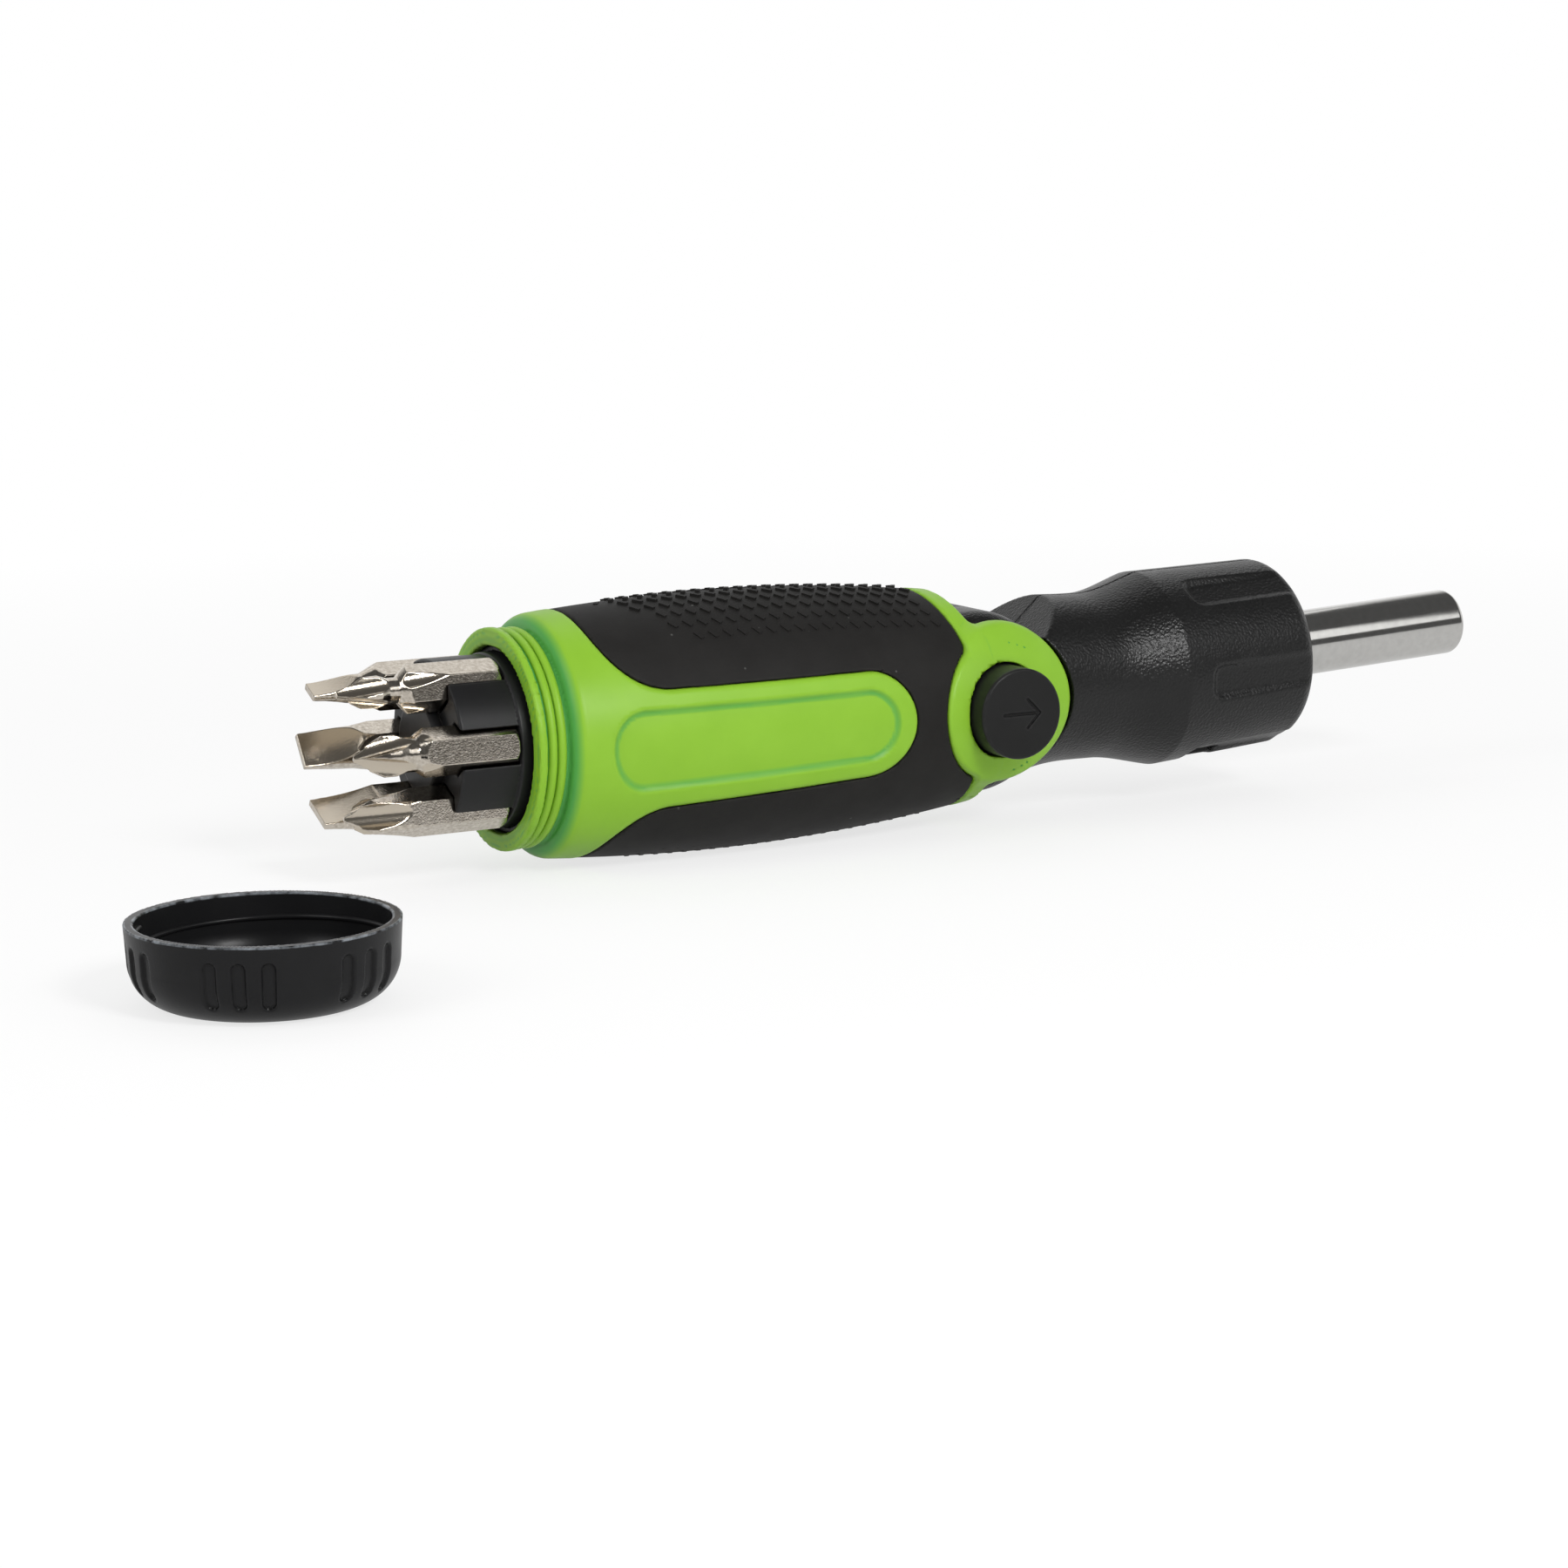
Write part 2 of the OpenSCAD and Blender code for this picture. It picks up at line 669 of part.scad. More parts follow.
// Double ended pawl under the gear: both noses stand just clear of the teeth in the middle setting
module pawl() color("gray") on_barrel() {
    tip_y = nose_tip_r * sin(nose_angle);
    tip_z = -nose_tip_r * cos(nose_angle);
    half = [[pawl_foot, pawl_floor], [pawl_half, pawl_low], [pawl_half, pawl_high], [tip_y + nose_out, tip_z],
        [tip_y - nose_in, tip_z], [pawl_saddle, pawl_high]];
    other = [for (i = [len(half) - 1 : -1 : 0]) [-half[i][0], half[i][1]]];
    difference() {
        union() {
            translate([pawl_x0, 0, 0]) rotate([90, 0, 90]) linear_extrude(pawl_l) polygon(concat(half, other));
            translate([pawl_x0, -tail_half, pawl_floor])
                cube([tail_end - pawl_x0, 2 * tail_half, tail_top - pawl_floor]);
        }
        translate([0, 0, pin_z]) rod_x(pin_r + run_gap, 0, far);
    }
}

module direction_rocker() color([0.18, 0.18, 0.18]) on_barrel() difference() {
    intersection() {
        translate([pawl_x0 + rocker_inset, -rocker_half, -far])
            cube([pawl_l - 2 * rocker_inset, 2 * rocker_half, far + pawl_floor]);
        rod_x(rocker_face, 0, far);
    }
    translate([0, 0, -rocker_face - finger_out]) rod_x(finger_r, 0, far);
}

module detent_ball() color("silver") on_barrel() translate([ball_x, 0, ball_z]) sphere(ball_r);

module detent_spring() color("silver") on_barrel() translate([ball_x, 0, ball_z + ball_r]) difference() {
    cylinder(r = coil_r, h = ball_hole_top - ball_z - ball_r);
    translate([0, 0, -1]) cylinder(r = coil_bore_r, h = far);
}

// Places a bit's own frame, pointing rearwards from its seat, at one place of the ring
module at_bit(place) rotate([-bit_ring_turn - 60 * place, 0, 0]) translate([bit_rear, -bit_ring_r, 0])
    rotate([0, -90, 0]) children();

// Hexagon with a flat facing outwards from the ring
module bit_hex(af, h) cylinder(d = af / cos(30), h = h, $fn = 6);

module bit_carrier() color([0.13, 0.13, 0.13]) at_pivot() difference() {
    union() {
        rod_x(store_r - carrier_gap, plug_rear, plug_rear + plug_l);
        rod_x(boss_rear_r, bit_rear + bit_seat_gap, plug_rear + touch);
        rod_x(rib_r, rim_x - rib_out, plug_rear);
        rod_x(core_r, rim_x - core_out, plug_rear);
    }
    rod_x(store_r - plug_wall, plug_rear + plug_floor, far);
    for (i = [0 : 5]) at_bit(i) translate([0, 0, -bit_seat_gap]) bit_hex(bit_af + 2 * bit_gap, bit_l);
}

// Hexagonal bar turned to an outline of [radius, height] points between its chamfered rear and its tip
module bit_bar(outline) intersection() {
    bit_hex(bit_af, bit_l);
    rotate_extrude()
        polygon(concat([[0, 0], [bit_r - bit_chamfer, 0], [bit_r, bit_chamfer]], outline, [[0, bit_l]]));
}

// Cross tip: four ground flutes that run out along the bit
module phillips(wing_r, tip_r, cone_l, waist_r, turn) difference() {
    turned = waist_r > 0
        ? [[bit_r, hex_l], [waist_r, hex_l + waist_in], [waist_r, hex_l + waist_out],
            [wing_r, hex_l + waist_end]]
        : [[bit_r, hex_l], [wing_r, hex_l + waist_in]];
    bit_bar(concat(turned, [[wing_r, bit_l - cone_l], [tip_r, bit_l]]));
    run = tip_l - flute_runout;
    lean = atan((wing_r - flute_core) / run);
    for (i = [0 : 3]) rotate(turn + 90 * i) translate([flute_r + flute_core, 0, bit_l]) rotate([0, -lean, 0])
        translate([0, 0, -2 * bit_l]) cylinder(r = flute_r, h = 2.2 * bit_l);
}

// Flat tip: two hollow ground cheeks, with the sides turned down to the blade's width
module slotted(blade_w, turn) difference() {
    bit_bar([[bit_r, hex_l], [blade_w / 2 + blade_flare, hex_l + blade_neck], [blade_w / 2, bit_l]]);
    for (side = [-1, 1]) rotate(turn) translate([side * (blade_t / 2 + blade_round), 0, bit_l])
        rotate([90, 0, 0]) cylinder(r = blade_round, h = far, center = true);
}

module place_bit(place) color("silver") at_pivot() at_bit(place) children();

module phillips_bit_medium() place_bit(0)
    phillips(wing_r = 3, tip_r = 0.9, cone_l = 4.6, waist_r = 2.6, turn = -40);

module phillips_bit_small() place_bit(1)
    phillips(wing_r = 2.4, tip_r = 0.6, cone_l = 4, waist_r = 1.9, turn = -30);

module slotted_bit_small() place_bit(2) slotted(blade_w = 3.6, turn = 30);

module slotted_bit_medium() place_bit(3) slotted(blade_w = 5.6, turn = -60);

module slotted_bit_large() place_bit(4) slotted(blade_w = 6.6, turn = 90);

module phillips_bit_large() place_bit(5)
    phillips(wing_r = 3.5, tip_r = 1.4, cone_l = 4.4, waist_r = 0, turn = -25);

// Cup with a rounded base, lying open side up beside the handle
module storage_cap() color([0.16, 0.16, 0.16]) at_pivot() translate([-cap_back, -cap_aside, -belly_max])
    rotate_extrude() {
        outside = [for (a = [0 : arc_step : 90])
            [cap_foot_r + (cap_low_r - cap_foot_r) * sin(a), cap_dome_h * (1 - cos(a))]];
        inside = [for (a = [90 : -arc_step : 0]) [cap_in_foot_r + (cap_in_low_r - cap_in_foot_r) * sin(a),
            cap_floor + (cap_dome_h - cap_floor) * (1 - cos(a))]];
        polygon(concat([[0, 0]], outside, [[cap_r, cap_h], [cap_in_r, cap_h]], inside, [[0, cap_floor]]));
    }

handle_core();
grip_sleeve();
bit_carrier();
phillips_bit_small();
phillips_bit_medium();
phillips_bit_large();
slotted_bit_small();
slotted_bit_medium();
slotted_bit_large();
pivot_button();
lock_gear();
lock_spring();
pivot_bolt();
pivot_clip();
pivot_cap();
barrel_left();
barrel_right();
barrel_screws();
shaft();
ratchet_gear();
front_bush();
rear_bush();
retaining_ring();
magnet();
pawl();
pawl_pin();
direction_rocker();
detent_spring();
detent_ball();
storage_cap();
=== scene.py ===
"""Looks of a pivoting ratchet screwdriver that lies on a table beside its screw cap.

Lengths inside the classes are millimetres in the tool's own frame: the origin is where the pivot's axis
crosses the handle's axis, +X points to the shaft's tip, +Z is up and the lock button faces -Y. Finished
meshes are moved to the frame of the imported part, in metres.
"""

import itertools
import json
import logging
import math
from dataclasses import dataclass
from enum import Enum
from typing import Callable, Iterable, Optional, Sequence

import bpy
import numpy as np
from mathutils import Matrix, Vector


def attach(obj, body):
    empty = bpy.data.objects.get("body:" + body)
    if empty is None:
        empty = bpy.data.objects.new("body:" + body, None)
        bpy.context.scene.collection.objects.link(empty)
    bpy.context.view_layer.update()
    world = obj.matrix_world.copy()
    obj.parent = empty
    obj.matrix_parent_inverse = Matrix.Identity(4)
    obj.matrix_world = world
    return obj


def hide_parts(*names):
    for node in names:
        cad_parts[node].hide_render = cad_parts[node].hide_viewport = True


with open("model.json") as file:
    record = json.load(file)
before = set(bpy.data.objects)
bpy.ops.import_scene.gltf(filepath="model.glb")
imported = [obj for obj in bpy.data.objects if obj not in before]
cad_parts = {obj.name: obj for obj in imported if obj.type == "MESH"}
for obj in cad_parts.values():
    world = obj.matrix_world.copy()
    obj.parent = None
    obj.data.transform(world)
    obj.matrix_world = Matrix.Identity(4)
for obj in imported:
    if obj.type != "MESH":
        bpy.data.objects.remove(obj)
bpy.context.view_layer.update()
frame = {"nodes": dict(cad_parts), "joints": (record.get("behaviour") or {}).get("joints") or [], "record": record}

LOG = logging.getLogger("screwdriver")
MM = 0.001
NO_SHADE = -100.0
WHITE = (1.0, 1.0, 1.0, 1.0)

Array = np.ndarray
Field = Callable[[Array, Array, Array], Array]


def joint(name: str) -> dict:
    """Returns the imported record's joint of that name."""
    return next(j for j in frame["joints"] if j["name"] == name)


PIVOT = Vector(joint("barrel_fold")["pos_m"])
SHAFT_AXIS = Vector(joint("shaft_spin")["axis"]).normalized()
BARREL_RISE = math.atan2(SHAFT_AXIS.z, SHAFT_AXIS.x)


class Body(Enum):
    """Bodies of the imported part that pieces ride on."""

    HANDLE = "handle"
    BUTTON = "button"
    BARREL = "barrel"
    SPINDLE = "spindle"
    SELECTOR = "selector"
    CARRIER = "carrier"
    CAP = "cap"


class Slot(Enum):
    """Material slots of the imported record."""

    HANDLE_GREEN = "handle_green"
    GRIP_RUBBER = "grip_rubber"
    BARREL_BLACK = "barrel_black"
    TRIM_BLACK = "trim_black"
    CARRIER_BLACK = "carrier_black"
    CAP_BLACK = "cap_black"
    BIT_NICKEL = "bit_nickel"
    SHAFT_CHROME = "shaft_chrome"
    INNER_STEEL = "inner_steel"
    BUSH_BRONZE = "bush_bronze"
    MAGNET_GREY = "magnet_grey"


# Shapes as distance fields


def both(a: Array, b: Array, r: float) -> Array:
    """Intersection of two shapes, with the edge between them rounded.

    Args:
        a: Distance to the first shape, negative inside.
        b: Distance to the second shape.
        r: Radius of the rounded edge.

    Returns:
        Distance to the common part.
    """
    return np.minimum(np.maximum(a, b), -r) + np.hypot(np.maximum(a + r, 0.0), np.maximum(b + r, 0.0))


def either(a: Array, b: Array, r: float) -> Array:
    """Returns the union of two shapes, with a fillet of radius r where they meet."""
    return -both(-a, -b, r)


def cut(a: Array, b: Array, r: float) -> Array:
    """Returns shape a without shape b, with the new edge rounded to radius r."""
    return both(a, -b, r)


def most(first: Array, *others: Array) -> Array:
    """Sharp intersection of several shapes.

    Args:
        first: Distance to the first shape.
        others: Distances to the others.

    Returns:
        Distance to the common part.
    """
    for other in others:
        first = np.maximum(first, other)
    return first


def least(first: Array, *others: Array) -> Array:
    """Sharp union of several shapes.

    Args:
        first: Distance to the first shape.
        others: Distances to the others.

    Returns:
        Distance to the nearest of them.
    """
    for other in others:
        first = np.minimum(first, other)
    return first


def between(v: Array, low: float, high: float) -> Array:
    """Returns the distance to the slab from low to high."""
    return np.maximum(low - v, v - high)


def capsule(u: Array, v: Array, half: float, r: float) -> Array:
    """Returns the distance to a round ended bar along v, of that half length between its end centres."""
    return np.hypot(u, np.maximum(np.abs(v) - half, 0.0)) - r


def drum(q: Array, y: Array, r: float, half: float, edge: float) -> Array:
    """Drum on the pivot's axis with rounded edges.

    Args:
        q: Distance from the pivot's axis.
        y: Place along the pivot's axis.
        r: Radius of the drum.
        half: Half of its width.
        edge: Radius of its edges.

    Returns:
        Distance to the drum.
    """
    a = q - (r - edge)
    b = np.abs(y) - (half - edge)
    return np.hypot(np.maximum(a, 0.0), np.maximum(b, 0.0)) + np.minimum(np.maximum(a, b), 0.0) - edge


def hexagon(u: Array, v: Array, flats: float) -> Array:
    """Returns the distance to a hexagonal bar with two flats facing along v."""
    slant = math.sqrt(0.75)
    return most(np.abs(v), np.abs(slant * u + 0.5 * v), np.abs(slant * u - 0.5 * v)) - flats / 2


@dataclass(frozen=True)
class Skin:
    """Turns a distance field into a mesh of quads that lie on its zero surface.

    Attributes:
        low: Lowest corner of the box that holds the shape.
        high: Highest corner of that box.
        cell: Edge of one cell of the sampling grid.
        settle_steps: How often the vertices are moved on to the surface.
        settle_reach: Longest move of one such step, as a share of a cell.
        least_square: Least square of the slope that such a step counts with.
        probe: Step for the slope.
        bend_probe: Step for the bend.
    """

    low: tuple[float, float, float]
    high: tuple[float, float, float]
    cell: float
    settle_steps: int = 4
    settle_reach: float = 0.6
    least_square: float = 0.05
    probe: float = 0.02
    bend_probe: float = 0.35

    def _slope(self, shape: Field, p: Array) -> Array:
        """Finds the gradient of a field.

        Args:
            shape: The distance field.
            p: Points, one in each row.

        Returns:
            The gradient at each point.
        """
        out = np.empty_like(p)
        for axis in range(3):
            step = np.zeros(3)
            step[axis] = self.probe
            ahead, back = p + step, p - step
            out[:, axis] = (shape(*ahead.T) - shape(*back.T)) / (2 * self.probe)
        return out

    def _bend(self, shape: Field, p: Array) -> Array:
        """Finds how a surface bends.

        Args:
            shape: The distance field.
            p: Points on its surface, one in each row.

        Returns:
            The bend at each point: positive on edges, negative in grooves.
        """
        total = -6 * shape(*p.T)
        for axis in range(3):
            step = np.zeros(3)
            step[axis] = self.bend_probe
            total += shape(*(p + step).T) + shape(*(p - step).T)
        return total / self.bend_probe**2

    def build(self, shape: Field) -> tuple[Array, Array, Array, Array]:
        """Samples the field and joins the crossings of neighbouring cells.

        Args:
            shape: The distance field.

        Returns:
            Vertices, quads, unit normals and the bend at each vertex.
        """
        axes = [np.arange(lo, hi + self.cell, self.cell) for lo, hi in zip(self.low, self.high)]
        grid = np.meshgrid(*axes, indexing="ij")
        value = shape(*grid)
        inside = value < 0
        n = [len(a) - 1 for a in axes]

        def corner(array: Array, c: Sequence[int]) -> Array:
            """Returns the values at one corner of each cell."""
            return array[c[0]:c[0] + n[0], c[1]:c[1] + n[1], c[2]:c[2] + n[2]]

        corners = [(i, j, k) for i in (0, 1) for j in (0, 1) for k in (0, 1)]
        count = sum(corner(inside, c).astype(np.int8) for c in corners)
        cells = np.argwhere((count > 0) & (count < 8))
        number = np.full(n, -1, dtype=np.int64)
        number[tuple(cells.T)] = np.arange(len(cells))
        total = np.zeros((len(cells), 3))
        hits = np.zeros(len(cells))
        for start in corners:
            for axis in range(3):
                if start[axis]:
                    continue
                end = list(start)
                end[axis] = 1
                a = value[tuple((cells + start).T)]
                b = value[tuple((cells + end).T)]
                crossed = (a < 0) != (b < 0)
                share = np.where(crossed, a / np.where(crossed, a - b, 1.0), 0.0)
                spot = np.tile(np.array(start, float), (len(cells), 1))
                spot[:, axis] = share
                total += spot * crossed[:, None]
                hits += crossed
        vertices = np.array(self.low) + self.cell * (cells + total / hits[:, None])
        quads = self._quads(inside, number)
        limit = self.settle_reach * self.cell
        for _ in range(self.settle_steps):
            slope = self._slope(shape, vertices)
            square = np.maximum((slope**2).sum(1), self.least_square)
            move = np.clip(shape(*vertices.T) / square, -limit, limit)
            vertices = vertices - slope * move[:, None]
        normals = self._slope(shape, vertices)
        normals /= np.maximum(np.linalg.norm(normals, axis=1), 1e-9)[:, None]
        return vertices, quads, normals, self._bend(shape, vertices)

    @staticmethod
    def _quads(inside: Array, number: Array) -> Array:
        """Joins the cells round each grid edge that crosses the surface.

        Args:
            inside: True at the grid's points inside the shape.
            number: Vertex number of each cell, or -1.

        Returns:
            One outward quad for each such edge.
        """
        quads = []
        for axis in range(3):
            u, v = (axis + 1) % 3, (axis + 2) % 3
            ahead = np.roll(inside, -1, axis)
            change = inside != ahead
            index = [slice(1, -1)] * 3
            index[axis] = slice(0, -1)
            base = np.argwhere(change[tuple(index)])
            base += [0 if k == axis else 1 for k in range(3)]
            ring = []
            for du, dv in ((-1, -1), (0, -1), (0, 0), (-1, 0)):
                spot = base.copy()
                spot[:, u] += du
                spot[:, v] += dv
                ring.append(number[tuple(spot.T)])
            faces = np.stack(ring, 1)
            leaving = inside[tuple(base.T)]
            quads.append(np.where(leaving[:, None], faces, faces[:, ::-1]))
        return np.concatenate(quads)


def place(points: Array) -> Array:
    """Returns points of the tool's own frame, in millimetres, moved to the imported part's frame, in metres."""
    return points * MM + np.array(PIVOT)


def mesh_piece(name: str, vertices: Array, faces: Iterable,
               normals: Optional[Array] = None) -> bpy.types.Object:
    """Makes a smooth shaded mesh object at the origin.

    Args:
        name: Name of the piece.
        vertices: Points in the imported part's frame, in metres.
        faces: Vertex numbers of each face.
        normals: Normal at each vertex, if the shape gives one.

    Returns:
        The new object, linked to the scene.
    """
    mesh = bpy.data.meshes.new(name)
    mesh.from_pydata(vertices.tolist(), [], [list(map(int, f)) for f in faces])
    mesh.shade_smooth()
    mesh.update()
    if normals is not None:
        mesh.normals_split_custom_set_from_vertices(normals.tolist())
    piece = bpy.data.objects.new(name, mesh)
    bpy.context.scene.collection.objects.link(piece)
    LOG.info("%s: %d faces", name, len(mesh.polygons))
    return piece


def store_values(piece: bpy.types.Object, label: str, values: Array) -> None:
    """Stores one number at each vertex of a piece, for its finish to read."""
    store = piece.data.attributes.new(label, "FLOAT", "POINT")
    store.data.foreach_set("value", values.astype(np.float32))


def skin_piece(name: str, skin: Skin, shape: Field, shade: Optional[Field] = None) -> bpy.types.Object:
    """Makes a piece from a distance field, with its bend stored for the finishes to read.

    Args:
        name: Name of the piece.
        skin: The sampling box.
        shape: The distance field.
        shade: How deep in a groove each place counts as being, where the field alone doesn't tell; this paints
            shade there, and a zero keeps painted highlights off the edges.

    Returns:
        The new object.
    """
    vertices, quads, normals, bend = skin.build(shape)
    if shade is not None:
        # The bend drives the finishes' painted groove shade and lightened edges; shade deepens the one and can
        # hold off the other.
        bend = np.minimum(bend, -shade(*vertices.T))
    piece = mesh_piece(name, place(vertices), quads, normals)
    store_values(piece, "bend", bend)
    return piece


# Node trees


@dataclass
class Wiring:
    """Adds and joins the nodes of one tree."""

    tree: bpy.types.NodeTree

    def add(self, kind: str, inputs: Optional[dict] = None, **settings: object) -> bpy.types.Node:
        """Adds a node.

        Args:
            kind: Blender's name of the node's type.
            inputs: Values or sockets for its inputs, by name or by number.
            settings: Properties of the node.

        Returns:
            The new node.
        """
        node = self.tree.nodes.new(kind)
        for key, value in settings.items():
            setattr(node, key, value)
        for key, value in (inputs or {}).items():
            self.feed(node.inputs[key], value)
        return node

    def feed(self, socket: bpy.types.NodeSocket, value: object) -> None:
        """Links or sets a socket.

        Args:
            socket: The input to be fed.
            value: Another socket to link, or a plain value.
        """
        if isinstance(value, bpy.types.NodeSocket):
            self.tree.links.new(value, socket)
        else:
            socket.default_value = value

    def spot(self) -> bpy.types.NodeSocket:
        """Returns the place on the piece, in its own coordinates."""
        return self.add("ShaderNodeTexCoord").outputs["Object"]

    def noise(self, scale: object, detail: float) -> bpy.types.NodeSocket:
        """Returns a soft noise of 0 to 1 over the piece."""
        inputs = {"Vector": self.spot(), "Scale": scale, "Detail": detail}
        return self.add("ShaderNodeTexNoise", inputs).outputs[0]

    def math(self, operation: str, a: object, b: object) -> bpy.types.NodeSocket:
        """Returns the output of a math node."""
        return self.add("ShaderNodeMath", {0: a, 1: b}, operation=operation).outputs[0]

    def remap(self, value: object, low: object, high: object,
              to_low: object = 0.0, to_high: object = 1.0) -> bpy.types.NodeSocket:
        """Returns a value taken from one range to another, held within the second."""
        inputs = {"Value": value, "From Min": low, "From Max": high, "To Min": to_low, "To Max": to_high}
        return self.add("ShaderNodeMapRange", inputs).outputs[0]

    def blend(self, share: object, a: object, b: object) -> bpy.types.NodeSocket:
        """Mixes two colours.

        Args:
            share: Share of the second colour.
            a: First colour.
            b: Second colour.

        Returns:
            The mixed colour.
        """
        node = self.add("ShaderNodeMix", data_type="RGBA")
        for number, value in ((0, share), (6, a), (7, b)):
            self.feed(node.inputs[number], value)
        return node.outputs[2]


def rgb(red: int, green: int, blue: int) -> tuple[float, float, float, float]:
    """Turns display values into a linear colour.

    Args:
        red: Red of 0 to 255.
        green: Green of 0 to 255.
        blue: Blue of 0 to 255.

    Returns:
        The colour, with an alpha of 1.
    """
    shares = (red / 255, green / 255, blue / 255)
    linear = [c / 12.92 if c <= 0.04045 else ((c + 0.055) / 1.055) ** 2.4 for c in shares]
    return (*linear, 1.0)


class Effects:
    """Shader node groups that several finishes share."""

    def __init__(self) -> None:
        """Builds each group once."""
        self.grain = self._grain()
        self.drift = self._drift()
        self.specks = self._specks()
        self.edges = self._edges()

    @staticmethod
    def _group(name: str, inputs: dict[str, float],
               outputs: Sequence[str]) -> tuple[Wiring, dict, bpy.types.Node]:
        """Starts a group.

        Args:
            name: Name of the group.
            inputs: Its inputs, as plain numbers, with their usual values.
            outputs: Names of its outputs.

        Returns:
            The wiring of the group, its input sockets by name and its output node.
        """
        tree = bpy.data.node_groups.new(name, "ShaderNodeTree")
        for label, value in inputs.items():
            socket = tree.interface.new_socket(label, in_out="INPUT", socket_type="NodeSocketFloat")
            socket.default_value = value
        for label in outputs:
            tree.interface.new_socket(label, in_out="OUTPUT", socket_type="NodeSocketFloat")
        wiring = Wiring(tree)
        entry = wiring.add("NodeGroupInput")
        leave = wiring.add("NodeGroupOutput")
        return wiring, {label: entry.outputs[label] for label in inputs}, leave

    def _grain(self) -> bpy.types.NodeTree:
        """Builds the pebbled grain of a textured mould.

        Returns:
            The group, with inputs Scale and Softness and output Height.
        """
        w, given, leave = self._group("mould_grain", {"Scale": 2200.0, "Softness": 0.5}, ["Height"])
        wanted = {"Vector": w.spot(), "Scale": given["Scale"], "Smoothness": 0.6}
        cells = w.add("ShaderNodeTexVoronoi", wanted, feature="SMOOTH_F1").outputs["Distance"]
        fine = w.noise(given["Scale"], 3.0)
        mixed = w.add("ShaderNodeMix", {0: given["Softness"], 2: cells, 3: fine}, data_type="FLOAT")
        w.feed(leave.inputs["Height"], mixed.outputs[0])
        return w.tree

    def _drift(self) -> bpy.types.NodeTree:
        """Builds a slow change from place to place, about a middle value.

        Returns:
            The group, with inputs Scale, Middle and Spread and output Value.
        """
        w, given, leave = self._group("drift", {"Scale": 120.0, "Middle": 0.4, "Spread": 0.1}, ["Value"])
        off = w.math("SUBTRACT", w.noise(given["Scale"], 4.0), 0.5)
        swing = w.math("MULTIPLY", off, w.math("MULTIPLY", given["Spread"], 2.0))
        w.feed(leave.inputs["Value"], w.math("ADD", given["Middle"], swing))
        return w.tree

    def _specks(self) -> bpy.types.NodeTree:
        """Builds scattered specks of dust.

        Returns:
            The group, with inputs Scale, Size and Cover and output Mask.
        """
        w, given, leave = self._group("dust_specks", {"Scale": 900.0, "Size": 0.12, "Cover": 0.5}, ["Mask"])
        dots = w.add("ShaderNodeTexVoronoi", {"Vector": w.spot(), "Scale": given["Scale"]})
        dot = w.remap(dots.outputs["Distance"], given["Size"], 0.0)
        draw = w.add("ShaderNodeSeparateColor", {0: dots.outputs["Color"]}).outputs[0]
        kept = w.math("GREATER_THAN", draw, w.math("SUBTRACT", 1.0, given["Cover"]))
        w.feed(leave.inputs["Mask"], w.math("MULTIPLY", dot, kept))
        return w.tree

    def _edges(self) -> bpy.types.NodeTree:
        """Builds masks from the bend stored on the mesh: edges lightened for wear and as a painted highlight, and
        painted shade in grooves.

        Returns:
            The group, with inputs Scale, Edge and Groove, and two outputs: lightened edges (wear and painted
            highlight) and painted groove shade.
        """
        usual = {"Scale": 700.0, "Edge": 2.0, "Groove": 2.0}
        w, given, leave = self._group("edges", usual, ["Worn", "Groove"])
        bend = w.add("ShaderNodeAttribute", attribute_name="bend").outputs["Fac"]
        ragged = w.remap(w.noise(given["Scale"], 3.0), 0.35, 0.65)
        # Lightened edges, for wear and as a painted highlight.
        edge = w.remap(bend, w.math("MULTIPLY", given["Edge"], 0.4), given["Edge"])
        w.feed(leave.inputs["Worn"], w.math("MULTIPLY", edge, ragged))
        # Painted shade in hollows.
        hollow = w.math("MULTIPLY", bend, -1.0)
        shallow = w.math("MULTIPLY", given["Groove"], 0.25)
        w.feed(leave.inputs["Groove"], w.remap(hollow, shallow, given["Groove"]))
        return w.tree


@dataclass
class Paint:
    """One material while it is written."""

    name: str
    effects: Effects

    def __post_init__(self) -> None:
        """Starts the material with its surface shader."""
        self.material = bpy.data.materials.new(self.name)
        self.material.use_nodes = True
        self.wiring = Wiring(self.material.node_tree)
        self.surface = self.material.node_tree.nodes["Principled BSDF"]

    def effect(self, tree: bpy.types.NodeTree, **values: float) -> bpy.types.Node:
        """Adds a shared effect with its own values.

        Args:
            tree: Node group of the effect.
            values: Values of its inputs, by name.

        Returns:
            The node of the effect.
        """
        node = self.wiring.add("ShaderNodeGroup", node_tree=tree)
        for label, value in values.items():
            node.inputs[label].default_value = value
        return node

    def drift(self, scale: float, middle: float, spread: float) -> bpy.types.NodeSocket:
        """Returns a slow change from place to place."""
        return self.effect(self.effects.drift, Scale=scale, Middle=middle, Spread=spread).outputs[0]

    def mottle(self, scale: float, a: tuple, b: tuple) -> bpy.types.NodeSocket:
        """Returns a colour that wanders between two."""
        return self.wiring.blend(self.drift(scale, 0.5, 0.9), a, b)

    def bump(self, height: bpy.types.NodeSocket, strength: float, depth: float) -> None:
        """Sends a height to the surface's normal.

        Args:
            height: Height of 0 to 1.
            strength: Share of the effect.
            depth: Height of 1, in millimetres.
        """
        inputs = {"Height": height, "Strength": strength, "Distance": depth * MM}
        self.set("Normal", self.wiring.add("ShaderNodeBump", inputs).outputs[0])

    def set(self, label: str, value: object) -> None:
        """Sets or links one input of the surface shader."""
        self.wiring.feed(self.surface.inputs[label], value)


